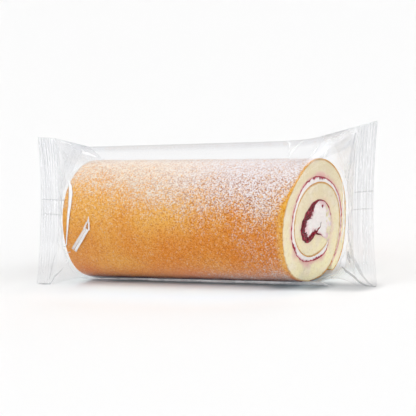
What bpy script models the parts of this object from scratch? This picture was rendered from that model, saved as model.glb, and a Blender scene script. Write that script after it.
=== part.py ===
"""Raspberry vanilla swiss roll, sealed in a clear flow-wrap bag and lying on its side.

The sealed pack is one closed solid: the outer form that the film takes round the cake.
The film hugs the sides and the underside of the roll, stands over its top as a low tent,
and runs from each end of the roll to a flat crimped seal. A lap seam runs along the back.

Frame: metres, +Z up, X along the roll with the shown cut end at +X, front at -Y.
The origin is the bottom centre of the pack's box.
"""

import bmesh
import bpy
import numpy as np

# The cake
ROLL_RADIUS = 0.0401        # mean radius of the roll
ROLL_LENGTH = 0.1730        # end to end along the roll's axis
ROLL_MIDDLE_X = -0.0020     # the roll lies a little nearer to the left seal
ROLL_MIDDLE_Y = -0.0005
ROLL_AXIS_Z = 0.0399
BASE_DEPTH = 0.0394         # the roll is pressed flat this far below its axis
CUT_LEAN = 0.12             # the shown cut leans out at its top, metres per metre of height

# Where the soft roll departs from a round: angle from +Y up towards +Z and width in degrees, gain
TAIL_LOBE = (-47.0, 27.0, 0.0062)       # the sheet's tail lies under the back
FRONT_SAG_LOBE = (-140.0, 24.0, 0.0020)
BACK_FLANK_LOBE = (60.0, 30.0, -0.0008)
FRONT_FLANK_LOBE = (128.0, 28.0, -0.0033)   # none at the left end, full at the cut end

# The film
FILM_GAP = 0.0005           # from the cake to the film's outside
TENT_RADIUS = 0.0401        # distance from the axis to the tent's two slopes
TENT_ANGLE_LEFT = 35.8      # from the top to where a slope leaves the cake, in degrees
TENT_ANGLE_RIGHT = 39.1
TENT_SOFTNESS = 4.0         # degrees over which the ridge is rounded
RIGHT_LIFT = 0.0020         # the film over the top is drawn up towards the taller right seal
LIFT_POWER = 16             # how close to the right rim that starts
RIM_GAP = 0.0020            # from the cake's ends to the rim where the film turns in
RISE_LEFT = 0.0012          # the film lifts off the ground between rim and seal
RISE_RIGHT = 0.0034
WAIST = 0.0025              # the film between rim and seal is drawn in by this much
PLEATS = 8                  # gathers on each face of an end, running in from the seal
PLEAT_DEPTH = 0.0011
SEAL_HALF_THICKNESS = 0.0008
SEAL_BOW = 0.0030           # the seal's edge is drawn towards the cake at mid height
SEAL_SQUARENESS = 0.30      # 1 gives a lens, 0 gives a band with square edges

# Ends of the seal lines: outer edge and inner edge, each from its bottom to its top
LEFT_OUTER = ((-0.1205, -0.0355, 0.0006), (-0.1373, 0.0050, 0.0956))
LEFT_INNER = ((-0.1055, -0.0355, 0.0006), (-0.1223, 0.0050, 0.0948))
RIGHT_OUTER = ((0.1352, -0.0162, 0.0006), (0.1373, 0.0000, 0.1034))
RIGHT_INNER = ((0.1202, -0.0162, 0.0006), (0.1223, 0.0000, 0.1000))

# The lap seam along the back
SEAM_ANGLE = 4.0            # above the axis, seen from the roll's middle
SEAM_HALF_ANGLE = 7.5
SEAM_RELIEF = 0.0007

# How finely the form is cut into faces
SIDES = 96
SEAL_STEPS = 2
SHOULDER_STEPS = 7
BODY_STEPS = 8

FILM_COLOUR = (0.90, 0.91, 0.92, 1.0)
FILM_ROUGHNESS = 0.12


def lobe(angles, centre, width, gain):
    """Bell curve round the section: gain times exp(-(turn / width) squared)."""
    turn = (angles - centre + 180.0) % 360.0 - 180.0
    return gain * np.exp(-((turn / width) ** 2))


def cake_radius(angles, along):
    """Radius of the soft roll at each angle: a round with four lobes, one growing along it."""
    lobes = (TAIL_LOBE, FRONT_SAG_LOBE, BACK_FLANK_LOBE)
    radius = ROLL_RADIUS + sum(lobe(angles, *values) for values in lobes)
    return radius + along * lobe(angles, *FRONT_FLANK_LOBE)


def film_radius(angles, tent_angle, along):
    """The film follows the cake, and above it two straight slopes meet in a soft ridge.

    A straight line at distance t from the axis has the radius t / cos(angle to its normal).
    """
    from_top = np.sqrt((angles - 90.0) ** 2 + TENT_SOFTNESS ** 2)
    from_top = np.where(angles < -90.0, 180.0, from_top)
    slope = np.radians(np.clip(tent_angle + TENT_SOFTNESS - from_top, 0.0, 60.0))
    radius = np.maximum(cake_radius(angles, along) + FILM_GAP, TENT_RADIUS / np.cos(slope))
    return radius + SEAM_RELIEF * (np.abs(angles - SEAM_ANGLE) < SEAM_HALF_ANGLE)


def body_ring(angles, along):
    """Ring of the film round the roll, at a share of the way from the left rim to the right."""
    tent_angle = TENT_ANGLE_LEFT + (TENT_ANGLE_RIGHT - TENT_ANGLE_LEFT) * along
    radius = film_radius(angles, tent_angle, along)
    across = ROLL_MIDDLE_Y + radius * np.cos(np.radians(angles))
    height = ROLL_AXIS_Z + radius * np.sin(np.radians(angles))
    height = np.maximum(height, ROLL_AXIS_Z - BASE_DEPTH - FILM_GAP)
    height += RIGHT_LIFT * along ** LIFT_POWER * np.clip(np.sin(np.radians(angles)), 0, 1) ** 4
    left = ROLL_MIDDLE_X - ROLL_LENGTH / 2 - RIM_GAP
    right = ROLL_MIDDLE_X + ROLL_LENGTH / 2 + RIM_GAP + CUT_LEAN * (height - ROLL_AXIS_Z)
    return np.stack([left + (right - left) * along, across, height], axis=1)


def seal_ring(angles, line):
    """Flat ring round one seal line: sin(angle) runs up the line, cos gives the two faces."""
    bottom, top = np.array(line[0]), np.array(line[1])
    up = np.sin(np.radians(angles))
    side = np.cos(np.radians(angles))
    side = np.sign(side) * np.abs(side) ** SEAL_SQUARENESS
    half = (top - bottom) / 2
    facing = np.cross((1.0, 0.0, 0.0), half / np.linalg.norm(half))
    facing = -facing / np.linalg.norm(facing)
    ring = (top + bottom) / 2 + up[:, None] * half + SEAL_HALF_THICKNESS * side[:, None] * facing
    ring[:, 0] -= np.sign(bottom[0]) * SEAL_BOW * (1.0 - up ** 2)
    return ring


def shoulder_ring(angles, rim, seal, share, rise):
    """Ring between the rim (share 0) and the seal (share 1), on straight lines drawn in a little.

    The pleats are a wave round the ring that is deepest three quarters of the way out.
    """
    ring = rim + (seal - rim) * share
    across = np.cos(np.radians(angles))
    pleat = np.sin(np.pi * share ** 2) * np.cos(np.radians(2 * PLEATS * angles))
    ring[:, 1] -= across * WAIST * np.sin(np.pi * share)
    ring[:, 1] += across * PLEAT_DEPTH * pleat
    low = np.clip(-np.sin(np.radians(angles)), 0.0, 1.0) ** 2
    ring[:, 2] += rise * np.sin(np.pi * share ** 1.4) * low
    return ring


def end_rings(angles, rim, inner_line, outer_line, rise):
    """Rings from just past the rim out to the seal's outer edge."""
    inner, outer = seal_ring(angles, inner_line), seal_ring(angles, outer_line)
    shares = np.linspace(0.0, 1.0, SHOULDER_STEPS + 1)[1:]
    rings = [shoulder_ring(angles, rim, inner, share, rise) for share in shares]
    shares = np.linspace(0.0, 1.0, SEAL_STEPS + 1)[1:]
    return rings + [inner + (outer - inner) * share for share in shares]


def pack_rings():
    """All rings of the pack in order, from the left seal's edge to the right seal's edge."""
    angles = 90.0 - np.arange(SIDES) * 360.0 / SIDES
    angles = np.where(angles <= -180.0, angles + 360.0, angles)
    body = [body_ring(angles, along) for along in np.linspace(0.0, 1.0, BODY_STEPS + 1)]
    left = end_rings(angles, body[0], LEFT_INNER, LEFT_OUTER, RISE_LEFT)
    right = end_rings(angles, body[-1], RIGHT_INNER, RIGHT_OUTER, RISE_RIGHT)
    return left[::-1] + body + right


def loft(name, rings):
    """Closed mesh through rings of equal counts that start at the top.

    The two ends are thin, so each is closed by rungs between its front and its back edge.
    """
    mesh = bmesh.new()
    loops = [[mesh.verts.new(tuple(point)) for point in ring] for ring in rings]
    count = len(loops[0])
    for loop, following in zip(loops, loops[1:]):
        for i in range(count):
            j = (i + 1) % count
            mesh.faces.new((loop[i], loop[j], following[j], following[i]))
    for loop in (loops[0], loops[-1]):
        for i in range(count // 2):
            rung = [loop[i], loop[i + 1], loop[(count - i - 1) % count], loop[(count - i) % count]]
            mesh.faces.new(list(dict.fromkeys(rung)))
    bmesh.ops.recalc_face_normals(mesh, faces=mesh.faces)
    bmesh.ops.triangulate(mesh, faces=mesh.faces)
    data = bpy.data.meshes.new(name)
    mesh.to_mesh(data)
    mesh.free()
    data.shade_smooth()
    return data


def film_material():
    """Clear glossy film."""
    material = bpy.data.materials.new("clear_film")
    material.use_nodes = True
    shader = material.node_tree.nodes["Principled BSDF"]
    shader.inputs["Base Color"].default_value = FILM_COLOUR
    shader.inputs["Roughness"].default_value = FILM_ROUGHNESS
    shader.inputs["Metallic"].default_value = 0.0
    material.diffuse_color = FILM_COLOUR
    return material


def main():
    for item in list(bpy.data.objects):
        bpy.data.objects.remove(item, do_unlink=True)
    collection = bpy.data.collections.new("wrapped_swiss_roll")
    bpy.context.scene.collection.children.link(collection)
    pack = bpy.data.objects.new("sealed_pack", loft("sealed_pack", pack_rings()))
    pack.data.materials.append(film_material())
    collection.objects.link(pack)


main()
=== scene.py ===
"""Raspberry vanilla swiss roll, lying on its side in a clear flow-wrap bag.

The sponge sheet winds from its tail under the back of the roll to its inner end. Jam and
vanilla cream fill the gap between its turns. A browned crust covers its outside, icing
sugar is dusted over that, and a clear film bag with two crimped seals holds it all.
"""

import logging
import math
from dataclasses import dataclass, field
from enum import Enum
from typing import Callable, Optional, Sequence, Union

import bmesh
import bpy
import numpy as np
from mathutils import Matrix


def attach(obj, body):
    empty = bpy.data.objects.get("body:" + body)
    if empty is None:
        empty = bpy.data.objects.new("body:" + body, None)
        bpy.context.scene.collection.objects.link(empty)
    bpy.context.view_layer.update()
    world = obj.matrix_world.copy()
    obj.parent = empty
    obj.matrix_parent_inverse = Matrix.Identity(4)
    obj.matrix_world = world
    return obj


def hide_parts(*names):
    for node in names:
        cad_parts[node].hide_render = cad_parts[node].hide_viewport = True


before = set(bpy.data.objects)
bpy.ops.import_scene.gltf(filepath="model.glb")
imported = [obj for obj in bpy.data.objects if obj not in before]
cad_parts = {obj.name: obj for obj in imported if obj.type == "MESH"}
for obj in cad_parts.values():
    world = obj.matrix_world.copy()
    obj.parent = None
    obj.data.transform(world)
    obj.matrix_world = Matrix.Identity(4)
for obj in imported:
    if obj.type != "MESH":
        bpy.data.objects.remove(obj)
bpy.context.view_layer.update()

NODE = "sealed_pack"
BODY = "root"
MM = 0.001
SAME_PLACE = 2e-7       # points nearer to each other than this become one
X_AXIS, Y_AXIS, Z_AXIS = (1.0, 0.0, 0.0), (0.0, 1.0, 0.0), (0.0, 0.0, 1.0)
Grid = np.ndarray
Form = Callable[[Grid, Grid, Grid], Grid]
Span = tuple[float, float]
Point = tuple[float, float, float]
Colour = tuple[float, float, float, float]
log = logging.getLogger("swiss_roll")


# Shader maths


class Socket:
    """An output socket whose arithmetic adds Math nodes to its tree."""

    def __init__(self, tree: "Tree", socket: bpy.types.NodeSocket) -> None:
        """Keeps the tree and the output socket."""
        self.tree = tree
        self.socket = socket

    def _math(self, operation: str, *values: Union["Socket", float]) -> "Socket":
        """Adds one Math node over the values."""
        return self.tree.node("ShaderNodeMath", {"operation": operation}, dict(enumerate(values)))

    def __add__(self, other: Union["Socket", float]) -> "Socket":
        """Sum."""
        return self._math("ADD", self, other)

    def __sub__(self, other: Union["Socket", float]) -> "Socket":
        """Difference."""
        return self._math("SUBTRACT", self, other)

    def __rsub__(self, other: float) -> "Socket":
        """Difference from a number."""
        return self._math("SUBTRACT", other, self)

    def __mul__(self, other: Union["Socket", float]) -> "Socket":
        """Product."""
        return self._math("MULTIPLY", self, other)

    def __truediv__(self, other: Union["Socket", float]) -> "Socket":
        """Quotient."""
        return self._math("DIVIDE", self, other)

    def __pow__(self, other: float) -> "Socket":
        """Power."""
        return self._math("POWER", self, other)

    __radd__ = __add__
    __rmul__ = __mul__

    def least(self, other: Union["Socket", float]) -> "Socket":
        """The smaller of two values."""
        return self._math("MINIMUM", self, other)

    def most(self, other: Union["Socket", float]) -> "Socket":
        """The larger of two values."""
        return self._math("MAXIMUM", self, other)

    def size(self) -> "Socket":
        """The value without its sign."""
        return self._math("ABSOLUTE", self)

    def ramp(self, low: float, high: float) -> "Socket":
        """Smooth step from 0 at low to 1 at high, which may be in either order."""
        settings = {"interpolation_type": "SMOOTHSTEP"}
        return self.tree.node(
            "ShaderNodeMapRange", settings, {"Value": self, "From Min": low, "From Max": high})


class Tree:
    """Node tree of one material, with one method that adds any node."""

    def __init__(self, owner: Union[bpy.types.Material, bpy.types.World]) -> None:
        """Clears the tree.

        Args:
            owner: the material or world that it belongs to.
        """
        owner.use_nodes = True
        self.tree = owner.node_tree
        self.tree.nodes.clear()

    def node(self, kind: str, settings: Optional[dict] = None, sockets: Optional[dict] = None,
             output: Union[str, int] = 0) -> Socket:
        """Adds a node.

        Args:
            kind: the node's type.
            settings: its own settings by name.
            sockets: values or links by socket name or number.
            output: the output to return.

        Returns:
            The chosen output.
        """
        node = self.tree.nodes.new(kind)
        for name, value in (settings or {}).items():
            setattr(node, name, value)
        for name, value in (sockets or {}).items():
            if isinstance(value, Socket):
                self.tree.links.new(value.socket, node.inputs[name])
            elif value is not None:
                node.inputs[name].default_value = value
        return Socket(self, node.outputs[output])

    def place(self) -> Socket:
        """Object coordinates."""
        return self.node("ShaderNodeTexCoord", output="Object")

    def dot(self, vector: Socket, axis: Sequence[float]) -> Socket:
        """How far a vector reaches along an axis."""
        settings = {"operation": "DOT_PRODUCT"}
        return self.node("ShaderNodeVectorMath", settings, {0: vector, 1: tuple(axis)}, "Value")

    def facing(self, normal: Optional[Socket] = None) -> Socket:
        """0 where the surface faces the view, 1 where it is seen edge on."""
        return self.node("ShaderNodeLayerWeight", {}, {"Blend": 0.5, "Normal": normal}, "Facing")

    def attribute(self, name: str) -> Socket:
        """A value kept on the mesh's corners or points."""
        return self.node("ShaderNodeAttribute", {"attribute_name": name}, output="Fac")

    def noise(self, scale: float, detail: float = 2.0, roughness: float = 0.5,
              vector: Optional[Socket] = None) -> Socket:
        """Noise of about one bump in 1 / scale metres."""
        sockets = {"Vector": vector or self.place(), "Scale": scale, "Detail": detail,
                   "Roughness": roughness}
        return self.node("ShaderNodeTexNoise", {}, sockets, "Fac")

    def cells(self, scale: float) -> Socket:
        """Distance to the nearest of scattered points, about 1 / scale metres apart."""
        sockets = {"Vector": self.place(), "Scale": scale}
        return self.node("ShaderNodeTexVoronoi", {}, sockets, "Distance")

    def warp(self, scale: float, reach: float) -> Socket:
        """Object coordinates pushed about: noise times the reach, added to the place.

        Args:
            scale: bumps of the noise in a metre.
            reach: the largest push in metres.

        Returns:
            The moved coordinates.
        """
        sockets = {"Vector": self.place(), "Scale": scale}
        push = self.node("ShaderNodeTexNoise", {}, sockets, "Color")
        sockets = {0: push, 1: (reach, reach, reach), 2: self.place()}
        return self.node("ShaderNodeVectorMath", {"operation": "MULTIPLY_ADD"}, sockets)

    def scatter(self, scale: float, vector: Socket) -> Socket:
        """A random value for each small cell of space.

        Args:
            scale: cells in a metre.
            vector: the coordinates that are cut into cells.

        Returns:
            The value, spread evenly from 0 to 1.
        """
        sockets = {"Vector": vector, "Scale": scale}
        cell = self.node("ShaderNodeTexVoronoi", {}, sockets, "Color")
        return self.node("ShaderNodeSeparateColor", {}, {"Color": cell}, "Red")

    def mix(self, share: Union[Socket, float], first: Union[Socket, Colour],
            second: Union[Socket, Colour]) -> Socket:
        """Blends two colours by a share."""
        settings = {"data_type": "RGBA", "clamp_factor": True}
        return self.node("ShaderNodeMix", settings, {0: share, 6: first, 7: second}, 2)

    def bump(self, height: Socket, depth: float, strength: float) -> Socket:
        """Normal of a relief of that depth in metres."""
        sockets = {"Height": height, "Distance": depth, "Strength": strength}
        return self.node("ShaderNodeBump", {}, sockets)

    def principled(self, **sockets: Union[Socket, float, Colour]) -> Socket:
        """Principled shader; a socket's spaces are written as underscores."""
        return self.node("ShaderNodeBsdfPrincipled", {},
                         {name.replace("_", " "): value for name, value in sockets.items()})

    def out(self, shader: Socket, kind: str = "ShaderNodeOutputMaterial") -> None:
        """Makes the shader the surface."""
        output = self.tree.nodes.new(kind)
        self.tree.links.new(shader.socket, output.inputs["Surface"])


# Finishes


def srgb(red: int, green: int, blue: int) -> Colour:
    """Linear colour of an 8-bit display colour: ((c + 0.055) / 1.055) to the power 2.4.

    Args:
        red: its red, from 0 to 255.
        green: its green.
        blue: its blue.

    Returns:
        The linear colour with an alpha of 1.
    """
    share = np.array([red, green, blue]) / 255.0
    linear = np.where(share <= 0.04045, share / 12.92, ((share + 0.055) / 1.055) ** 2.4)
    return (*[float(value) for value in linear], 1.0)


@dataclass(frozen=True)
class CrustFinish:
    """Thin golden skin of the baked sheet, dusted with fine icing sugar."""

    golden: Colour = srgb(245, 188, 94)
    deep: Colour = srgb(230, 135, 40)
    pale: Colour = srgb(246, 204, 134)
    # pore: the crust in its pores, darkened partly as painted shade
    pore: Colour = srgb(196, 94, 22)
    # under: painted shade on the underside, partly also its darker bake
    under: Colour = srgb(124, 34, 42)
    rose: Colour = srgb(228, 140, 104)
    rim: Colour = srgb(232, 168, 44)
    sugar: Colour = srgb(239, 235, 238)
    cream: Colour = srgb(245, 232, 214)
    # partly sugar seen edge on, partly a painted sheen
    edge_sheen: Colour = srgb(254, 250, 250)
    shade: Colour = srgb(186, 132, 104)
    veil: Colour = srgb(232, 196, 154)
    # gap: darker crust between the veil's grains, deepened as painted shade
    gap: Colour = srgb(160, 96, 66)
    roughness: float = 0.62
    specular: float = 0.05
    patch_scale: float = 26.0
    mottle_scale: float = 460.0
    grain_scale: float = 1650.0
    sugar_scale: float = 1750.0
    warp_scale: float = 900.0
    warp_reach: float = 0.0003
    cut_side: Span = (-0.045, 0.050)        # x over which the sugar turns from cream to white
    below_crown: Span = (0.079, 0.066)      # height over which the painted shade in the gaps between it grows
    relief_depth: float = 0.0006

    def skin(self, tree: Tree, mottle: Socket, grain: Socket, harsh: Socket) -> Socket:
        """Colour of the bare crust: baked patches, pale specks, dark pores partly as painted shade,
        and painted shade on the underside.

        Args:
            tree: the material's tree.
            mottle: soft noise a few millimetres wide.
            grain: a random value for each cell the size of a pore.
            harsh: how strongly the pores show.

        Returns:
            The colour.
        """
        bake = tree.attribute("bake") + (tree.noise(self.patch_scale, 2.0) - 0.5) * 0.25
        colour = tree.mix(bake.ramp(0.0, 0.9), self.golden, self.deep)
        colour = tree.mix(bake.ramp(0.20, 0.08) * 0.8, colour, self.rim)
        colour = tree.mix(mottle.ramp(0.50, 0.70) * 0.25, colour, self.pale)
        colour = tree.mix(grain.ramp(0.70, 0.95) * 0.40, colour, self.pale)
        # dark pores: partly the crust's own colour, partly painted shade
        colour = tree.mix(grain.ramp(0.38, 0.12) * (harsh * 0.28 + 0.47), colour, self.pore)
        colour = tree.mix(tree.attribute("rose"), colour, self.rose)
        # painted shade: the underside turns dark red-brown, partly also its darker bake
        return tree.mix(tree.attribute("under") * 0.85, colour, self.under)

    def material(self) -> bpy.types.Material:
        """The skin under a veil of sugar, with grains where a random draw is under the dusting.

        Returns:
            The crust's material.
        """
        material = bpy.data.materials.new("baked_crust")
        tree = Tree(material)
        right = tree.dot(tree.place(), X_AXIS).ramp(*self.cut_side)
        harsh = right * tree.dot(tree.place(), Z_AXIS).ramp(*self.below_crown)
        bent = tree.warp(self.warp_scale, self.warp_reach)
        mottle = tree.noise(self.mottle_scale, 3.0, 0.6)
        grain, draw = tree.scatter(self.grain_scale, bent), tree.scatter(self.sugar_scale, bent)
        dust = tree.attribute("dust")
        # the veil of fine sugar, with gaps darkened as painted shade
        veil = tree.mix(grain.ramp(0.60, 0.25) * harsh, self.veil, self.gap)
        colour = self.skin(tree, mottle, grain, harsh)
        colour = tree.mix(dust.ramp(0.10, 0.85) * (right * 0.25 + 0.40), colour, veil)
        # the grains, shaded where they lie low
        white = tree.mix(right, self.cream, self.sugar)
        white = tree.mix(grain.ramp(0.50, 0.15) * (harsh * 0.45 + 0.55), white, self.shade)
        over = draw + (mottle - 0.5) * 0.7 - (1.0 - dust)
        sugar = over.ramp(-0.08, 0.08) * (dust.ramp(-0.25, 0.62) * 0.60 + 0.36)
        colour = tree.mix(sugar, colour, white)
        # sugar seen edge on hides the crust, and a painted sheen whitens it there as well
        colour = tree.mix(tree.facing() ** 4.0 * dust.ramp(0.1, 0.6) * 0.7, colour, self.edge_sheen)
        relief = tree.bump(grain * 0.5 + sugar * 0.8 + mottle * 0.6, self.relief_depth, 0.6)
        tree.out(tree.principled(
            Base_Color=colour, Roughness=self.roughness + sugar * 0.25,
            Specular_IOR_Level=self.specular, Normal=relief))
        return material


@dataclass(frozen=True)
class SpongeFinish:
    """Pale open crumb, browned on the sheet's outside and stained by the jam inside."""

    crumb: Colour = srgb(235, 221, 188)
    # low: painted light: the crumb is lighter, and a little yellower, towards the bottom, where less
    # light falls
    low: Colour = srgb(252, 240, 198)
    light: Colour = srgb(243, 232, 214)
    shade: Colour = srgb(218, 197, 152)
    brown: Colour = srgb(206, 152, 66)
    stain: Colour = srgb(230, 182, 172)
    roughness: float = 0.85
    pore_scale: float = 620.0
    fine_scale: float = 900.0
    soft_scale: float = 120.0
    painted_light_heights: Span = (0.062, 0.0)        # heights of the plain crumb and of the lower crumb, painted lighter and a little yellower
    relief_depth: float = 0.0005

    def material(self) -> bpy.types.Material:
        """Crumb with pores; depth runs from 0 at the crust to 1 at the jam.

        Returns:
            The sponge's material.
        """
        material = bpy.data.materials.new("sponge_crumb")
        tree = Tree(material)
        pores = tree.cells(self.pore_scale)
        fine = tree.noise(self.fine_scale, 2.0, 0.6)
        soft = tree.noise(self.soft_scale, 2.0)
        height = tree.dot(tree.place(), Z_AXIS)
        # painted light: the crumb turns lighter and a little yellower towards the bottom
        colour = tree.mix(height.ramp(*self.painted_light_heights), self.crumb, self.low)
        colour = tree.mix(soft.ramp(0.40, 0.70) * 0.6, colour, self.light)
        colour = tree.mix(pores.ramp(0.34, 0.10) * 0.40, colour, self.shade)
        colour = tree.mix(fine.ramp(0.55, 0.35) * 0.25, colour, self.shade)
        depth = tree.attribute("depth")
        edge = depth + (fine - 0.5) * 0.10
        colour = tree.mix(edge.ramp(0.12, 0.03) * 0.75, colour, self.brown)
        stain = (depth + (soft - 0.5) * 0.7 + (fine - 0.5) * 0.3).ramp(0.66, 1.04)
        colour = tree.mix(stain * tree.attribute("stain"), colour, self.stain)
        relief = tree.bump(pores.ramp(0.05, 0.45) + fine * 0.5, self.relief_depth, 0.5)
        tree.out(tree.principled(
            Base_Color=colour, Roughness=self.roughness, Normal=relief,
            Subsurface_Weight=0.15, Subsurface_Radius=(0.9, 0.6, 0.35), Subsurface_Scale=0.003))
        return material


@dataclass(frozen=True)
class JamFinish:
    """Dark glossy raspberry jam."""

    dark: Colour = srgb(94, 4, 24)
    bright: Colour = srgb(190, 34, 62)
    thin: Colour = srgb(216, 88, 106)
    roughness: float = 0.25
    specular: float = 0.16
    lump_scale: float = 620.0
    relief_depth: float = 0.0012

    def material(self) -> bpy.types.Material:
        """Dark and bright red by noise, paler where it is thin, wet and lumpy.

        Returns:
            The jam's material.
        """
        material = bpy.data.materials.new("raspberry_jam")
        tree = Tree(material)
        lumps = tree.noise(self.lump_scale, 2.0)
        colour = tree.mix(lumps.ramp(0.46, 0.62) * 0.6, self.dark, self.bright)
        colour = tree.mix(tree.attribute("thin") * 0.8, colour, self.thin)
        relief = tree.bump(lumps, self.relief_depth, 0.9)
        tree.out(tree.principled(
            Base_Color=colour, Roughness=self.roughness, Specular_IOR_Level=self.specular,
            Normal=relief))
        return material


@dataclass(frozen=True)
class CreamFinish:
    """Whipped vanilla cream, tinted by the jam beside it."""

    cream: Colour = srgb(246, 238, 234)
    pink: Colour = srgb(232, 190, 196)
    roughness: float = 0.5
    cloud_scale: float = 240.0
    lump_scale: float = 700.0
    relief_depth: float = 0.0007

    def material(self) -> bpy.types.Material:
        """White with soft pink clouds near the jam.

        Returns:
            The cream's material.
        """
        material = bpy.data.materials.new("vanilla_cream")
        tree = Tree(material)
        clouds = tree.noise(self.cloud_scale, 3.0, 0.55)
        share = (clouds - 0.5 + tree.attribute("near_jam") * 0.5).ramp(0.12, 0.50)
        colour = tree.mix(share * 0.8, self.cream, self.pink)
        lumps = clouds + tree.noise(self.lump_scale, 1.0) * 0.4
        relief = tree.bump(lumps, self.relief_depth, 0.5)
        tree.out(tree.principled(
            Base_Color=colour, Roughness=self.roughness, Normal=relief,
            Subsurface_Weight=0.2, Subsurface_Radius=(1.0, 0.8, 0.7), Subsurface_Scale=0.003))
        return material


@dataclass(frozen=True)
class SugarFinish:
    """Icing sugar grains."""

    white: Colour = srgb(240, 234, 230)
    damp: Colour = srgb(228, 214, 206)
    roughness: float = 0.9
    patch_scale: float = 600.0

    def material(self) -> bpy.types.Material:
        """Plain matt white, a little uneven.

        Returns:
            The sugar's material.
        """
        material = bpy.data.materials.new("icing_sugar")
        tree = Tree(material)
        patches = tree.noise(self.patch_scale).ramp(0.3, 0.8)
        colour = tree.mix(patches * 0.2, self.white, self.damp)
        tree.out(tree.principled(Base_Color=colour, Roughness=self.roughness))
        return material


class FilmKind(Enum):
    """How a piece of film looks: the clear sheet, white folds that are painted highlights, grey folds
    that are painted shade, and the mirror-like foot fold.
    """

    CLEAR = "clear_film"
    HIGHLIGHT = "painted_highlight_fold"
    SHADE = "painted_shade_fold"
    FOOT = "foot_fold"


@dataclass(frozen=True)
class FilmFinish:
    """Clear glossy film: light passes it, and the rest is a mirror-like reflection."""

    tint: Colour = (0.984, 0.984, 0.987, 1.0)
    shine: Colour = (0.76, 0.78, 0.83, 1.0)
    # white paints the highlight folds; it is also the foot fold's mirror colour
    white: Colour = (0.97, 0.97, 0.98, 1.0)
    # grey paints the shade folds
    grey: Colour = (0.40, 0.41, 0.42, 1.0)
    roughness: float = 0.07
    slack_roughness: float = 0.33
    fold_roughness: float = 0.3
    cloud_scale: float = 160.0
    ripple_scale: float = 55.0
    ripple_depth: float = 0.0016
    edge: float = 0.65

    def fold(self, kind: FilmKind) -> bpy.types.Material:
        """A fold of cloudy film: white for the painted highlights, grey for the painted shade, and a
        mirror at the foot.

        Args:
            kind: which of the folds.

        Returns:
            The fold's material.
        """
        material = bpy.data.materials.new(kind.value)
        tree = Tree(material)
        clear = tree.node("ShaderNodeBsdfTransparent", {}, {"Color": self.tint})
        least = {FilmKind.HIGHLIGHT: 0.74, FilmKind.SHADE: 0.35, FilmKind.FOOT: 0.70}[kind]
        cloud = tree.noise(self.cloud_scale, 2.0).ramp(0.25, 0.65) * 0.2 + least
        # highlight folds are painted white and shade folds painted grey; the foot fold is a white
        # mirror
        film = tree.principled(
            Base_Color=self.grey if kind is FilmKind.SHADE else self.white,
            Metallic=1.0 if kind is FilmKind.FOOT else 0.0, Roughness=self.fold_roughness)
        share = cloud * tree.attribute("cover")
        tree.out(tree.node("ShaderNodeMixShader", {}, {0: share, 1: clear, 2: film}))
        return material

    @staticmethod
    def streaks(tree: Tree, along: float, upward: float) -> Socket:
        """Noise drawn out up the film.

        Args:
            tree: the material's tree.
            along: bumps for each zone of the pack's length.
            upward: bumps from the pack's middle to its top.

        Returns:
            The noise.
        """
        lines = {"X": tree.attribute("run") * along, "Y": tree.attribute("up") * upward,
                 "Z": tree.attribute("side") * 1.5}
        return tree.noise(1.0, 2.0, 0.6, tree.node("ShaderNodeCombineXYZ", {}, lines))

    def sheet(self) -> bpy.types.Material:
        """Clear film and shine, mixed by the share of light that the film returns.

        That share is the sum of a grazing view's reflection, the haze and the slack's sheen.

        Returns:
            The film's material.
        """
        material = bpy.data.materials.new(FilmKind.CLEAR.value)
        tree = Tree(material)
        crimp, loose, ribs = (tree.attribute(name) for name in ("crimp", "loose", "ribs"))
        tent, up = tree.attribute("tent"), tree.attribute("up")
        # streaks that run up the slack film, and the creases between them
        fine, broad = self.streaks(tree, 19.0, 1.4), self.streaks(tree, 4.5, 0.9)
        tone = fine.ramp(0.36, 0.64) * 0.4 + broad.ramp(0.36, 0.64) * 0.6
        tone = tone + crimp * broad.ramp(0.42, 0.62) * 0.4
        crease = 1.0 - ((broad - 0.5) * 2.0).size().ramp(0.0, 0.07)
        # the slack's sheen: least on its streaks and near the ground
        sheen = ribs * 0.03 - tone.ramp(0.35, 0.80) * (ribs * 0.09 + 0.05) + crease * 0.03 + 0.13
        sheen = sheen * loose * (up * 0.34 + 0.62)
        sheen = sheen * (1.0 - ribs * up.ramp(-0.30, -0.85) * 0.75)
        # bands along the tent, and its ridge
        band = self.streaks(tree, 2.5, 26.0).ramp(0.40, 0.62)
        sheen = sheen + band * tent * 0.02 + tree.attribute("ridge") * 0.20
        relief = (tone + crease * 0.5) * loose * (ribs * 0.8 + 0.2)
        relief = relief + tree.noise(self.ripple_scale, 2.0, 0.5) * 0.5
        ripple = tree.bump(relief, self.ripple_depth, 0.4)
        graze = tree.facing(ripple) ** 4.0
        graze = graze * (1.0 - tent * 0.9) * (1.0 - (loose - ribs).most(0.0) * 0.5)
        share = (graze * self.edge + tree.attribute("haze") + sheen).least(1.0)
        clear = tree.node("ShaderNodeBsdfTransparent", {}, {"Color": self.tint})
        shine = tree.principled(
            Base_Color=self.shine, Metallic=1.0, Normal=ripple,
            Roughness=self.roughness + loose * self.slack_roughness)
        tree.out(tree.node("ShaderNodeMixShader", {}, {0: share, 1: clear, 2: shine}))
        return material


# Mesh building


def waves(points: Grid, length: float, seed: int, count: int = 24) -> Grid:
    """Smooth noise of about unit size: a sum of sines along random directions.

    Args:
        points: places, with x, y, z in the last axis.
        length: the middle wavelength in metres.
        seed: seed of the directions and phases.
        count: how many sines.

    Returns:
        One value for each point.
    """
    draw = np.random.default_rng(seed)
    turn = draw.normal(size=(count, 3))
    turn *= draw.uniform(0.6, 1.6, (count, 1)) / np.linalg.norm(turn, axis=1, keepdims=True)
    phase = draw.uniform(0, 2 * np.pi, count)
    return np.sin(points @ turn.T * (2 * np.pi / length) + phase).sum(axis=-1) / np.sqrt(count / 2)


def smooth(share: Grid) -> Grid:
    """Smooth step of values between 0 and 1."""
    share = np.clip(share, 0.0, 1.0)
    return share * share * (3 - 2 * share)


@dataclass
class Patch:
    """A grid of points of one surface, with values on them."""

    points: Grid
    values: dict[str, Grid] = field(default_factory=dict)


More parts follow.
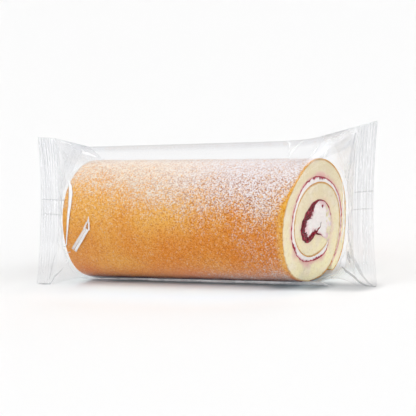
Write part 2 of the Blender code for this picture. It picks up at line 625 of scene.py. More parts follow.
def mesh_piece(name: str, patches: Sequence[Patch], material: bpy.types.Material,
               outward: bool = True) -> bpy.types.Object:
    """Points of neighbouring grids that coincide become one, so seams and poles are closed, and
    two faces on the same points are an inner wall, so both are left out.

    Args:
        name: the piece's name.
        patches: the grids, each a surface of two parameters.
        material: its material.
        outward: whether to turn all normals outwards.

    Returns:
        The new object, which rides on the body.
    """
    points, faces, names = [], [], sorted(patches[0].values)
    values: dict[str, list[Grid]] = {key: [] for key in names}
    start = 0
    for patch in patches:
        rows, columns = patch.points.shape[:2]
        index = start + np.arange(rows * columns).reshape(rows, columns)
        corners = (index[:-1, :-1], index[:-1, 1:], index[1:, 1:], index[1:, :-1])
        faces.append(np.stack([corner.ravel() for corner in corners], axis=1))
        points.append(patch.points.reshape(-1, 3))
        for key in names:
            values[key].append(np.broadcast_to(patch.values[key], (rows, columns)).ravel())
        start += rows * columns
    every = np.concatenate(points)
    keys = np.round(every / SAME_PLACE).astype(np.int64)
    _, first, merged = np.unique(keys, axis=0, return_index=True, return_inverse=True)
    quads = merged.reshape(-1)[np.concatenate(faces)]
    _, same, uses = np.unique(np.sort(quads), axis=0, return_inverse=True, return_counts=True)
    quads = quads[uses[same.reshape(-1)] == 1]
    data = bpy.data.meshes.new(name)
    data.from_pydata(every[first].tolist(), [], tidy_faces(quads))
    for key in names:
        layer = data.attributes.new(key, "FLOAT", "POINT")
        layer.data.foreach_set("value", np.concatenate(values[key])[first].astype(np.float32))
    return declare(name, data, material, outward)


def tidy_faces(quads: Grid) -> list[tuple[int, ...]]:
    """Drops repeated corners, so a quad at a pole becomes a triangle.

    Args:
        quads: four point numbers for each face.

    Returns:
        The faces that still have three or four corners.
    """
    keep = quads != np.roll(quads, -1, axis=1)
    whole = keep.all(axis=1)
    rest = [tuple(q[k]) for q, k in zip(quads[~whole], keep[~whole]) if k.sum() == 3]
    return [tuple(q) for q in quads[whole].tolist()] + [tuple(int(i) for i in q) for q in rest]


def declare(name: str, data: bpy.types.Mesh, material: bpy.types.Material,
            outward: bool = True) -> bpy.types.Object:
    """Makes the object of a finished mesh, and tells the frame what it stands for.

    Args:
        name: the piece's name.
        data: its mesh.
        material: its material.
        outward: whether to turn all normals outwards.

    Returns:
        The new object.
    """
    piece = bpy.data.objects.new(name, data)
    bpy.context.scene.collection.objects.link(piece)
    data.materials.append(material)
    data.validate()
    data.update()
    if outward:
        turn_outwards(data)
    data.shade_smooth()
    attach(piece, BODY)
    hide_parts(NODE)
    log.info("%s: %d faces", name, len(data.polygons))
    return piece


def turn_outwards(data: bpy.types.Mesh) -> None:
    """Recalculates the normals of a closed mesh so that they point out.

    Args:
        data: the mesh, which is changed.
    """
    work = bmesh.new()
    work.from_mesh(data)
    bmesh.ops.recalc_face_normals(work, faces=work.faces)
    work.to_mesh(data)
    work.free()


def block(form: Form, first: Grid, second: Grid, third: Grid,
          values: dict[str, Form]) -> list[Patch]:
    """The six sides of a bent block, a solid of three parameters.

    Args:
        form: point of the solid for its three parameters.
        first: values of the first parameter, low to high.
        second: values of the second.
        third: values of the third.
        values: functions of the parameters that are kept on the points.

    Returns:
        Six grids whose edges coincide.
    """
    axes = (first, second, third)
    patches = []
    for fixed in range(3):
        others = [axis for axis in range(3) if axis != fixed]
        grid = np.meshgrid(axes[others[0]], axes[others[1]], indexing="ij")
        for value in (axes[fixed][0], axes[fixed][-1]):
            along: list[Grid] = [np.zeros(0)] * 3
            along[others[0]], along[others[1]] = grid
            along[fixed] = np.full_like(grid[0], value)
            kept = {key: rule(*along) for key, rule in values.items()}
            patches.append(Patch(form(*along), kept))
    return patches


def push_ends(point: Grid, share: Grid, step: Union[Grid, float]) -> Grid:
    """Moves the points of both ends out along X, and leaves those between them.

    Args:
        point: places along the roll.
        share: their share of its length, 0 and 1 at the ends.
        step: how far out.

    Returns:
        The moved places.
    """
    end = np.where(share >= 1.0, 1.0, 0.0) - np.where(share <= 0.0, 1.0, 0.0)
    moved = point.copy()
    moved[..., 0] += end * step
    return moved


# The cake


@dataclass(frozen=True)
class Lobe:
    """A bell-shaped departure from the round section, in degrees and metres."""

    angle: float
    width: float
    gain: float

    def at(self, angles: Grid) -> Grid:
        """Gain times exp(-(turn / width) squared)."""
        turn = (angles - self.angle + 180.0) % 360.0 - 180.0
        return self.gain * np.exp(-((turn / self.width) ** 2))


@dataclass(frozen=True)
class CakeForm:
    """Outer form of the roll, with the sizes of the CAD solid."""

    radius: float = 0.0401
    length: float = 0.1730
    middle_x: float = -0.0020
    middle_y: float = -0.0005
    axis_z: float = 0.0399
    base_depth: float = 0.0394
    cut_lean: float = 0.12
    tail: Lobe = Lobe(-47.0, 27.0, 0.0062)
    flank: Lobe = Lobe(128.0, 28.0, -0.0033)
    others: tuple[Lobe, ...] = (Lobe(-140.0, 24.0, 0.0020), Lobe(60.0, 30.0, -0.0008))

    def outline(self, angles: Grid, share: Grid, tail_share: Union[Grid, float] = 1.0) -> Grid:
        """Radius at each angle in degrees from +Y up towards +Z: the round and its lobes."""
        rest = sum(lobe.at(angles) for lobe in self.others) + share * self.flank.at(angles)
        return self.radius + rest + tail_share * self.tail.at(angles)

    def end_x(self, height: Grid, share: Grid) -> Grid:
        """X between the two ends, of which the cut leans out at its top.

        Args:
            height: height above the ground.
            share: share of the way from the left end to the cut.

        Returns:
            X, the left end's plus the share of the length at that height.
        """
        left = self.middle_x - self.length / 2
        right = self.middle_x + self.length / 2 + self.cut_lean * (height - self.axis_z)
        return left + (right - left) * share

    def section(self, across: Grid, up: Grid, share: Grid) -> Grid:
        """Point at a place in the round section, measured from the axis."""
        height = self.axis_z + up
        return np.stack([self.end_x(height, share), self.middle_y + across, height], axis=-1)

    def place(self, angles: Grid, radius: Grid, share: Grid, lift: Union[Grid, float] = 0.0) -> Grid:
        """Point of the roll from its polar place: radius times the angle's cosine and sine.

        Args:
            angles: angle round the axis in degrees.
            radius: distance from the axis.
            share: share of the length.
            lift: how far the point stays above the flat base.

        Returns:
            The points.
        """
        turn = np.radians(angles)
        up = np.maximum(radius * np.sin(turn), lift - self.base_depth)
        return self.section(radius * np.cos(turn), up, share)


@dataclass(frozen=True)
class Spiral:
    """The wound sheet: its outside and inside radius for each degree wound from the tail.

    Outer and inner hold the radius in millimetres at some places, as (degrees wound, radius).
    """

    cake: CakeForm = CakeForm()
    tail_angle: float = -58.0
    turn: float = 360.0
    end: float = 734.0
    tail_fades: float = 285.0
    tail_fade: float = 55.0
    outer: tuple[Span, ...] = (
        (360, 40.2), (369, 38.6), (380, 37.0), (391, 35.6), (410, 33.4), (428, 31.4), (449, 28.9),
        (469, 26.4), (491, 24.7), (510, 23.9), (534, 24.1), (577, 25.0), (616, 25.8), (652, 24.7),
        (694, 23.8), (734, 24.7))
    inner: tuple[Span, ...] = (
        (0, 41.0), (9, 39.2), (20, 37.9), (31, 36.7), (50, 34.7), (68, 33.2), (86, 31.4),
        (105, 29.4), (123, 28.2), (145, 28.1), (183, 28.0), (208, 27.8), (229, 28.3), (255, 29.3),
        (277, 29.2), (295, 28.4), (321, 26.7), (341, 27.2), (359, 27.8), (381, 24.6), (401, 22.8),
        (421, 20.2), (443, 17.4), (471, 14.5), (510, 11.9), (539, 11.6), (574, 12.9), (597, 16.3),
        (614, 17.8), (638, 17.6), (655, 16.2), (673, 13.4), (701, 10.3), (711, 11.7), (727, 17.0),
        (734, 24.2))

    def angle(self, wound: Grid) -> Grid:
        """Angle round the roll of a place on the sheet."""
        return self.tail_angle + wound

    def outside(self, wound: Grid, share: Grid) -> Grid:
        """Radius of the crust side: the cake's outline for one turn, then the inner turns.

        Args:
            wound: degrees wound from the tail.
            share: share of the length.

        Returns:
            The radius.
        """
        tail_share = 1.0 - smooth((wound - self.tail_fades) / self.tail_fade)
        first = self.cake.outline(self.angle(wound), share, tail_share)
        return np.where(wound < self.turn, first, self._between(wound, self.outer))

    def inside(self, wound: Grid) -> Grid:
        """Radius of the jam side."""
        return self._between(wound, self.inner)

    @staticmethod
    def _between(wound: Grid, knots: tuple[Span, ...]) -> Grid:
        """Cubic curve through the knots, with the slope at each from its two neighbours.

        Args:
            wound: degrees wound from the tail.
            knots: (degrees wound, radius in millimetres), in order.

        Returns:
            The radius in metres: the four Hermite terms of each stretch.
        """
        at, value = np.array(knots, float).T
        value = value * MM
        slope = np.gradient(value, at)
        i = np.clip(np.searchsorted(at, wound) - 1, 0, len(at) - 2)
        width = at[i + 1] - at[i]
        t = np.clip((wound - at[i]) / width, 0.0, 1.0)
        near = (2 * t ** 3 - 3 * t ** 2 + 1) * value[i] + (t ** 3 - 2 * t ** 2 + t) * width * slope[i]
        far, rise = (3 * t ** 2 - 2 * t ** 3) * value[i + 1], (t ** 3 - t ** 2) * width * slope[i + 1]
        return near + far + rise


@dataclass(frozen=True)
class Bake:
    """How dark the crust is baked, from 0 to 1."""

    length: float = CakeForm.length
    band: Lobe = Lobe(-163.0, 26.0, 0.42)
    foot: Lobe = Lobe(-126.0, 14.0, 0.42)
    base: float = 0.34
    uneven: float = 0.07
    pale_end: float = 0.0055
    inner_turns: float = 0.15

    def at(self, angles: Grid, share: Grid) -> Grid:
        """Base, darker bands low on the front, slow waves, and a paler strip at the cut.

        Args:
            angles: angle round the roll.
            share: share of the length.

        Returns:
            The bake: (base + bands + waves) times what the strip leaves.
        """
        turn = np.radians(angles)
        place = np.stack([share * self.length, 0.04 * np.cos(turn), 0.04 * np.sin(turn)], axis=-1)
        slow = waves(place, 0.07, 15) + 0.6 * waves(place, 0.028, 16)
        band = self.band.at(angles) * (0.15 + 0.85 * smooth(share * 1.6 - 0.2))
        band = band + self.foot.at(angles) * smooth(2.0 - share * 3.6)
        edge = smooth(1.2 - (1.0 - share) * self.length / self.pale_end)
        return (self.base + band + self.uneven * slow) * (1.0 - 0.8 * edge)


@dataclass(frozen=True)
class Dusting:
    """How thick the icing sugar lies: most on the top and towards the cut end.

    Angles are in degrees from the back, over the top and down the front. Reach is where the
    sugar ends on the front, and fade how far above that it starts to thin, each as (at the
    left end, at the cut).
    """

    cover: float = 0.92
    reach: Span = (187.0, 204.0)
    fade: Span = (106.0, 88.0)
    near_cut: float = 0.19
    near_cut_foot: float = 252.0
    back_reach: float = 8.0
    back_fade: float = 60.0
    underside: Lobe = Lobe(-126.0, 15.0, 0.30)
    length: float = CakeForm.length
    bare_end: float = 0.0060

    def thickness(self, angles: Grid, share: Grid) -> Grid:
        """Share of the crust that sugar covers.

        It fades down the front and the back with an uneven edge. Near the cut a thin dusting
        goes on further down, a little lies on the underside, and the cut's own edge is bare.

        Args:
            angles: angle round the roll.
            share: share of the length.

        Returns:
            The share, from 0 to about 1.
        """
        around = (angles + 90.0) % 360.0 - 90.0
        reach = self.reach[0] + (self.reach[1] - self.reach[0]) * share
        fade = self.fade[0] + (self.fade[1] - self.fade[0]) * smooth(share * 1.8)
        wave = np.stack([share * self.length, around * 0.0007, 0 * share], axis=-1)
        uneven = waves(wave, 0.06, 11) * 3.5 + waves(wave, 0.020, 12) * 3.0
        front = smooth((reach + uneven - around) / fade)
        spread = smooth((share - 0.72 - (around - 186.0) * 0.0032 + uneven * 0.004) / 0.10)
        thin = self.near_cut * spread * smooth((self.near_cut_foot - around) / 14.0)
        back = smooth((around - self.back_reach + uneven) / self.back_fade)
        low = self.underside.at(angles) * smooth(share * 3.0 - 1.3)
        to_cut = (1.0 - share) * self.length
        side = smooth((around - 132.0) / 26.0) * (1.0 - 0.6 * smooth((around - 178.0) / 26.0))
        bare = self.bare_end * (0.28 + 0.72 * side)
        sugar = self.cover * np.maximum(front, thin) * back + low
        return sugar * smooth(to_cut / bare - 0.15)


@dataclass(frozen=True)
class Sponge:
    """The sponge sheet and its baked crust."""

    spiral: Spiral = Spiral()
    bake: Bake = Bake()
    # underside and under_inner: painted shade on the crust's underside, partly also its darker bake,
    # and a little on the inner turns
    underside: Lobe = Lobe(-103.5, 15.0, 1.6)
    under_inner: float = 0.12
    rose_low: Lobe = Lobe(-123.0, 15.0, 0.75)
    rose_left: Lobe = Lobe(-140.0, 32.0, 0.28)
    crust: float = 0.00050
    relief: float = 0.00016
    flat_end: float = 0.005
    sink: float = 0.0009
    crumb: float = 0.00022
    tongue_from: Span = (0.0170, -0.0165)
    tongue_to: Span = (0.0143, 0.0075)
    tongue_bulge: float = 0.0022
    tongue_width: float = 0.0031
    tongue_proud: float = 0.0002

    def crust_radius(self, wound: Grid, share: Grid, depth: Grid) -> Grid:
        """Radius in the crust: the sheet's outside with low waves, less the depth in it.

        Args:
            wound: degrees wound from the tail.
            share: share of the length.
            depth: 0 on the crust's outside and 1 on its inside.

        Returns:
            The radius.
        """
        spiral = self.spiral
        radius = spiral.outside(wound, share)
        plain = spiral.cake.place(spiral.angle(wound), radius, share)
        swell = waves(plain, 0.020, 3) * 0.7 + waves(plain, 0.0065, 4) * 0.4
        swell = swell + waves(plain, 0.0030, 8) * 0.3
        ends = smooth(np.minimum(share, 1.0 - share) * spiral.cake.length / self.flat_end)
        return radius + self.relief * (swell - 0.6) * ends - self.crust * depth

    def crust_point(self, wound: Grid, depth: Grid, share: Grid) -> Grid:
        """Point of the crust shell."""
        radius, angle = self.crust_radius(wound, share, depth), self.spiral.angle(wound)
        return self.spiral.cake.place(angle, radius, share, self.crust * depth)

    def sheet_point(self, wound: Grid, depth: Grid, share: Grid) -> Grid:
        """Point of the sheet, which lies sunk under the crust except at both ends.

        Args:
            wound: degrees wound from the tail.
            depth: 0 at the crust and 1 at the jam, on a straight line between them.
            share: share of the length.

        Returns:
            The points.
        """
        spiral = self.spiral
        inside_ends = smooth(np.minimum(share, 1.0 - share) * 40.0)
        sunk = self.crust * 0.6 + self.sink * inside_ends * (wound < spiral.turn)
        outside = spiral.outside(wound, share) - sunk
        radius = outside + (spiral.inside(wound) - outside) * depth
        return self.roughen(spiral.cake.place(spiral.angle(wound), radius, share, sunk), share)

    def roughen(self, point: Grid, share: Grid, proud: float = 0.0) -> Grid:
        """Moves both ends by the torn crumb's relief, and out by a step."""
        crumb = waves(point, 0.0045, 5) * 0.6 + waves(point, 0.0022, 6) * 0.5
        return push_ends(point, share, self.crumb * crumb + proud)

    def tongue_point(self, along: Grid, across: Grid, share: Grid) -> Grid:
        """Leaf-shaped inner end of the sheet: a bowed middle line with a width that closes.

        Args:
            along: 0 to 1 along the leaf; its bow is a sine, its width a sine's power.
            across: -1 to 1 across it.
            share: share of the roll's length.

        Returns:
            The points.
        """
        start, stop = np.array(self.tongue_from), np.array(self.tongue_to)
        line = start + (stop - start) * along[..., None]
        run = (stop - start) / np.linalg.norm(stop - start)
        side = np.array([run[1], -run[0]])
        width = self.tongue_width * np.sin(np.pi * (0.02 + 0.96 * along) ** 0.75) ** 0.8
        bow = self.tongue_bulge * np.sin(np.pi * along)
        flat = line + side * (bow + width * across)[..., None]
        point = self.spiral.cake.section(flat[..., 0], flat[..., 1], share)
        return self.roughen(point, share, self.tongue_proud)

    def crust_values(self, dusting: Dusting) -> dict[str, Form]:
        """Rules for the values kept on the crust for its material.

        Args:
            dusting: how thick the icing sugar lies.

        Returns:
            A function of degrees wound, depth and share of the length for each value.
        """
        spiral = self.spiral

        def dust(w: Grid, d: Grid, s: Grid) -> Grid:
            """Dusting on the outer turn."""
            return dusting.thickness(spiral.angle(w), s) * (w < spiral.turn) * (1.0 - d)

        def bake(w: Grid, d: Grid, s: Grid) -> Grid:
            """How dark the crust is baked; the inner turns are an even brown."""
            outer = self.bake.at(spiral.angle(w), s)
            return np.where(w < spiral.turn, outer, self.bake.inner_turns)

        def under(w: Grid, d: Grid, s: Grid) -> Grid:
            """How much painted shade, partly also a darker bake, lies on the underside; the inner
            turns take a little of it.
            """
            outer = self.underside.at(spiral.angle(w))
            return np.where(w < spiral.turn, outer, self.under_inner)

        def rose(w: Grid, d: Grid, s: Grid) -> Grid:
            """Pinkish brown low on the front, from its middle to the cut and at the left end.

            Args:
                w: degrees wound.
                d: depth in the crust; not used.
                s: share of the length.

            Returns:
                How pink the crust is; the inner turns are not.
            """
            low = self.rose_low.at(spiral.angle(w)) * smooth(s * 3.0 - 0.8)
            left = self.rose_left.at(spiral.angle(w)) * smooth(1.0 - s * 4.0)
            return np.where(w < spiral.turn, np.maximum(low, left), 0.0)

        return {"dust": dust, "bake": bake, "under": under, "rose": rose}

    def build_crumb(self, material: bpy.types.Material) -> bpy.types.Object:
        """Makes the sponge: the wound sheet and its leaf-shaped inner end.

        Args:
            material: the crumb.

        Returns:
            The piece.
        """
        turn, end = self.spiral.turn, self.spiral.end
        wound = np.concatenate([np.arange(0, turn, 1.8), np.arange(turn, end, 3.0), [end]])
        sheet = {"depth": lambda w, d, s: d, "stain": lambda w, d, s: 0.35 + 0.65 * (w < turn)}
        patches = block(self.sheet_point, wound, np.linspace(0, 1, 13), np.linspace(0, 1, 41), sheet)
        tongue = {"depth": lambda a, c, s: 0.5 + 0.0 * a, "stain": lambda a, c, s: 0.0 * a}
        patches += block(self.tongue_point, np.linspace(0, 1, 25), np.linspace(-1, 1, 9),
                         np.linspace(0, 1, 3), tongue)
        return mesh_piece("sponge", patches, material)

    def build_crust(self, material: bpy.types.Material, dusting: Dusting) -> bpy.types.Object:
        """Makes the crust, fine on the outer turn and coarse on the inner ones.

        Args:
            material: the baked skin.
            dusting: how thick the icing sugar lies.

        Returns:
            The piece.
        """
        kept, skin = self.crust_values(dusting), np.linspace(0, 1, 2)
        turn, end = self.spiral.turn, self.spiral.end
        outer, inner = np.arange(0, turn + 0.1, 1.5), np.arange(turn + 0.5, end, 3.0)
        patches = block(self.crust_point, outer, skin, np.linspace(0, 1, 150), kept)
        patches += block(self.crust_point, inner, skin, np.linspace(0, 1, 3), kept)
        return mesh_piece("crust", patches, material)


@dataclass(frozen=True)
class Filling:
    """Jam and cream between the turns, and in the middle.

    The ring lies under the outer turn, the crescent of jam and the core of cream in the
    middle. Blobs thicken the ring's jam, as (degrees wound, width in degrees, millimetres),
    and the crescent's own thickness is given as (degrees wound, millimetres).
    """

    sponge: Sponge = Sponge()
    ring: Span = (4.0, 374.0)
    crescent: Span = (415.0, 728.0)
    film_mm: float = 0.36
    least: float = 0.0001
    into_sponge: float = 0.00012
    into_cream: float = 0.0002
    into_crust: float = 0.0002
    jam_proud: float = 0.00035
    cream_proud: float = 0.00025
    core_proud: float = 0.00035
    blobs: tuple[Point, ...] = (
        (121.0, 1.5, 0.7), (127.5, 2.2, 1.6), (134.0, 2.6, 2.0), (142.0, 1.8, 0.8),
        (150.0, 2.6, 1.7), (163.0, 2.0, 1.2), (172.0, 1.8, 0.6), (112.0, 1.4, 0.5),
        (262.0, 3.4, 1.2), (268.5, 3.0, 1.6), (275.0, 2.6, 0.9), (296.0, 2.0, 0.6),
        (307.0, 2.4, 0.6), (318.0, 2.2, 0.7), (327.0, 2.4, 0.8), (334.0, 2.4, 1.5),
        (340.0, 2.4, 1.2), (346.5, 2.0, 0.9), (205.0, 10.0, 0.2), (232.0, 6.0, 0.3))
    core: tuple[Span, ...] = (
        (415, 0.15), (440, 0.45), (455, 0.3), (471, 0.9), (490, 1.5), (500, 2.4), (512, 4.8),
        (539, 7.2), (574, 8.2), (597, 7.6), (614, 6.4), (638, 5.2), (655, 5.2), (673, 6.4),
        (690, 4.0), (705, 2.0), (727, 0.5))
    core_rows: int = 22
    hook: tuple[Span, ...] = (
        (-0.0010, -0.0098), (0.0030, -0.0082), (0.0062, -0.0062), (0.0078, -0.0030))
    hook_width: float = 0.0010
    hook_proud: float = 0.0003
    hook_round: float = 0.0005
    fleck: Point = (0.0092, 0.0071, 0.0011)
    fleck_proud: float = 0.0005

    def jam_depth(self, wound: Grid) -> Grid:
        """Thickness of the jam: a thin uneven film with blobs, then the thick crescent.

        Args:
            wound: degrees wound from the tail.

        Returns:
            The thickness; on the ring it fills at most three quarters of the gap.
        """
        thin = 1.0 + 0.35 * np.sin(wound * 0.31) + 0.25 * np.sin(wound * 0.83)
        thin = self.film_mm * (thin + 0.35 * np.sin(wound * 1.37 + 1.0))
        for place, width, gain in self.blobs:
            thin = thin + gain * np.exp(-(((wound - place) / width) ** 2))
        core = np.interp(wound, *np.array(self.core, float).T)
        core = core * (1.0 + 0.12 * np.sin(wound * 0.22) + 0.08 * np.sin(wound * 0.57))
        core = core + 0.35 * np.sin(wound * 1.03) * np.clip(core, 0.0, 1.0)
        spiral = self.sponge.spiral
        gap = spiral.inside(wound) - spiral.outside(wound + spiral.turn, 1.0)
        ring = np.maximum(np.minimum(thin * MM, gap * 0.75), self.least)
        return np.where(wound < self.crescent[0], ring, core * MM)

    def jam_point(self, wound: Grid, depth: Grid, share: Grid) -> Grid:
        """Point of the jam layer, from just inside the sponge inwards.

        Args:
            wound: degrees wound from the tail.
            depth: 0 at the sponge and 1 at the cream.
            share: share of the length.

        Returns:
            The points, bulging out of both ends.
        """
        spiral = self.sponge.spiral
        layer = self.jam_depth(wound) + self.into_cream
        radius = spiral.inside(wound) + self.into_sponge - layer * depth
        point = spiral.cake.place(spiral.angle(wound), radius, share)
        return self.bulge(point, depth, share, self.jam_proud, 21)

    def cream_point(self, wound: Grid, depth: Grid, share: Grid) -> Grid:
        """Point of the cream layer, from the jam to just inside the next turn's crust.

        Args:
            wound: degrees wound from the tail.
            depth: 0 at the jam and 1 in the crust.
            share: share of the length.

        Returns:
            The points, bulging out of both ends.
        """
        spiral = self.sponge.spiral
        high = spiral.inside(wound) - self.jam_depth(wound)
        low = spiral.outside(wound + spiral.turn, share) - self.into_crust
        low = np.minimum(low, high - self.least)
        point = spiral.cake.place(spiral.angle(wound), high + (low - high) * depth, share)
        return self.bulge(point, depth, share, self.cream_proud, 22)

    def core_rim(self, wound: Grid) -> Grid:
        """Outer radius of the cream in the middle: the sheet's inside, less the jam on it.

        Args:
            wound: degrees wound from the tail.

        Returns:
            The radius, a little way into the jam or the sponge.
        """
        start = self.crescent[0]
        jam = np.where(wound < start, 0.0, self.jam_depth(np.maximum(wound, start)))
        return self.sponge.spiral.inside(wound) - jam * 0.94 + self.least

    def core_point(self, wound: Grid, depth: Grid, share: Grid) -> Grid:
        """Point of the cream in the middle, from its rim to its centre.

        Below the rim the radius starts as it ends, so that the first and the last wall meet.

        Args:
            wound: degrees wound, a full turn from the ring's end.
            depth: 0 at the rim and 1 on the axis.
            share: share of the length.

        Returns:
            The points.
        """
        spiral, start = self.sponge.spiral, self.ring[1]
        rim = self.core_rim(wound)
        step = self.core_rim(np.array(spiral.end)) - self.core_rim(np.array(start))
        below = rim + step * (1.0 - smooth((wound - start) / 40.0))
        to_below = np.minimum(depth * (self.core_rows - 1.0), 1.0)
        radius = (rim + (below - rim) * to_below) * (1.0 - depth)
        point = spiral.cake.place(spiral.angle(wound), radius, share)
        near_rim = np.clip(depth * 2.5, 0.0, 0.5)
        return self.bulge(point, near_rim, share, self.core_proud, 23)

    @staticmethod
    def bulge(point: Grid, depth: Grid, share: Grid, proud: float, seed: int) -> Grid:
        """Rounds a layer out of both ends: sin(depth) times its height, with lumps.

        Args:
            point: the layer's points.
            depth: 0 to 1 through the layer.
            share: share of the length.
            proud: height of the round.
            seed: seed of the lumps.

        Returns:
            The moved points.
        """
        dome = np.sin(np.pi * depth) * (1.0 + 0.5 * waves(point, 0.004, seed)) - 0.35
        return push_ends(point, share, proud * dome)

    def hook_point(self, along: Grid, across: Grid, share: Grid) -> Grid:
        """Curl of jam at the crescent's foot: a bent line with a width that tapers.

        Args:
            along: 0 to 1 along the curl.
            across: -1 to 1 across it.
            share: share of the length.

        Returns:
            The points.
        """
        knots = np.array(self.hook)
        place = along * (len(knots) - 1)
        line = np.stack([np.interp(place, range(len(knots)), knots[:, i]) for i in (0, 1)], axis=-1)
        width = self.hook_width * (1.0 - 0.75 * along)
        flat = line + np.stack([-0.45 * across * width, 0.9 * across * width], axis=-1)
        point = self.sponge.spiral.cake.section(flat[..., 0], flat[..., 1], share)
        point = self.bulge(point, (across + 1) / 2, share, self.hook_round, 24)
        return push_ends(point, share, self.hook_proud)

    def fleck_point(self, around: Grid, across: Grid, share: Grid) -> Grid:
        """A speck of jam in the cream: a small disc whose radius has three waves.

        Args:
            around: 0 to 1 round the disc.
            across: 0 at its middle and 1 at its rim.
            share: share of the length.

        Returns:
            The points.
        """
        y, z, size = self.fleck
        turn = around * 2 * np.pi
        radius = size * across * (1.0 + 0.2 * np.sin(3 * turn))
        cake = self.sponge.spiral.cake
        point = cake.section(y + radius * np.cos(turn), z + radius * np.sin(turn), share)
        return push_ends(point, share, self.fleck_proud)

    def build_jam(self, material: bpy.types.Material) -> bpy.types.Object:
        """Makes the jam: the ring, the crescent, the curl and the fleck.

        Args:
            material: the jam's material.

        Returns:
            The piece.
        """
        def paler(w: Grid, d: Grid, s: Grid) -> Grid:
            """How thin the jam is: never thick in the ring."""
            thin = 1.0 - smooth(self.jam_depth(w) / 0.0007 - 0.4)
            return np.maximum(thin, 0.5 * (w < self.crescent[0]))

        share, across = np.linspace(0, 1, 9), np.linspace(-1, 1, 5)
        thin, thick = {"thin": paler}, {"thin": lambda a, c, s: 0.0 * a}
        patches = block(self.jam_point, np.arange(*self.ring), np.linspace(0, 1, 5), share, thin)
        patches += block(self.jam_point, np.arange(*self.crescent), np.linspace(0, 1, 11), share,
                         thin)
        patches += block(self.hook_point, np.linspace(0, 1, 20), across, np.array([0.02, 1.0]),
                         thick)
        patches += block(self.fleck_point, np.linspace(0, 1, 17), np.linspace(0, 1, 5),
                         np.array([0.98, 1.0]), thick)
        return mesh_piece("jam", patches, material)

    def build_cream(self, material: bpy.types.Material) -> bpy.types.Object:
        """Makes the cream: the layer between the turns, and the middle.

        Args:
            material: the cream's material.

        Returns:
            The piece.
        """
        near = {"near_jam": lambda w, d, s: np.clip(1.0 - d * 2.2, 0.0, 1.0)}
        share, end = np.linspace(0, 1, 9), self.sponge.spiral.end
        patches = block(self.cream_point, np.arange(*self.ring), np.linspace(0, 1, 7), share, near)
        middle = np.append(np.arange(self.ring[1], end, 2.0), end)
        patches += block(self.core_point, middle, np.linspace(0, 1, self.core_rows), share, near)
        return mesh_piece("cream", patches, material)


@dataclass(frozen=True)
class IcingSugar:
    """Loose grains of icing sugar on the crust."""

    sponge: Sponge = Sponge()
    dusting: Dusting = Dusting()
    tries: int = 30000
    size: float = 0.00017
    spread: Span = (0.5, 1.25)
    seed: int = 7

    def build(self, material: bpy.types.Material) -> bpy.types.Object:
        """Scatters small eight-sided grains where a random draw is under the dusting.

        Args:
            material: the sugar's material.

        Returns:
            The piece, with all grains.
        """
        draw = np.random.default_rng(self.seed)
        wound = draw.uniform(2.0, 358.0, self.tries)
        share = draw.uniform(0.003, 0.997, self.tries)
        angle = self.sponge.spiral.angle(wound)
        keep = draw.uniform(0, 1, self.tries) < self.dusting.thickness(angle, share) ** 1.4
        wound, share, angle = wound[keep], share[keep], angle[keep]
        radius = self.sponge.crust_radius(wound, share, np.zeros_like(wound)) + self.size * 0.2
        centre = self.sponge.spiral.cake.place(angle, radius, share)
        count = len(centre)
        spin = np.linalg.qr(draw.normal(size=(count, 3, 3)))[0]
        axes = spin * (self.size * draw.uniform(*self.spread, (count, 1, 3)))
        corners = np.concatenate([axes, -axes], axis=2).transpose(0, 2, 1) + centre[:, None, :]
        sides = np.array([(0, 1, 2), (1, 3, 2), (3, 4, 2), (4, 0, 2),
                          (1, 0, 5), (3, 1, 5), (4, 3, 5), (0, 4, 5)])
        faces = (sides[None] + 6 * np.arange(count)[:, None, None]).reshape(-1, 3)
        data = bpy.data.meshes.new("icing_sugar")
        data.from_pydata(corners.reshape(-1, 3).tolist(), [], faces.tolist())
        return declare("icing_sugar", data, material)


# The film bag


@dataclass(frozen=True)
class SealLine:
    """One line across a flat seal, from its bottom to its top."""

    bottom: Point
    top: Point


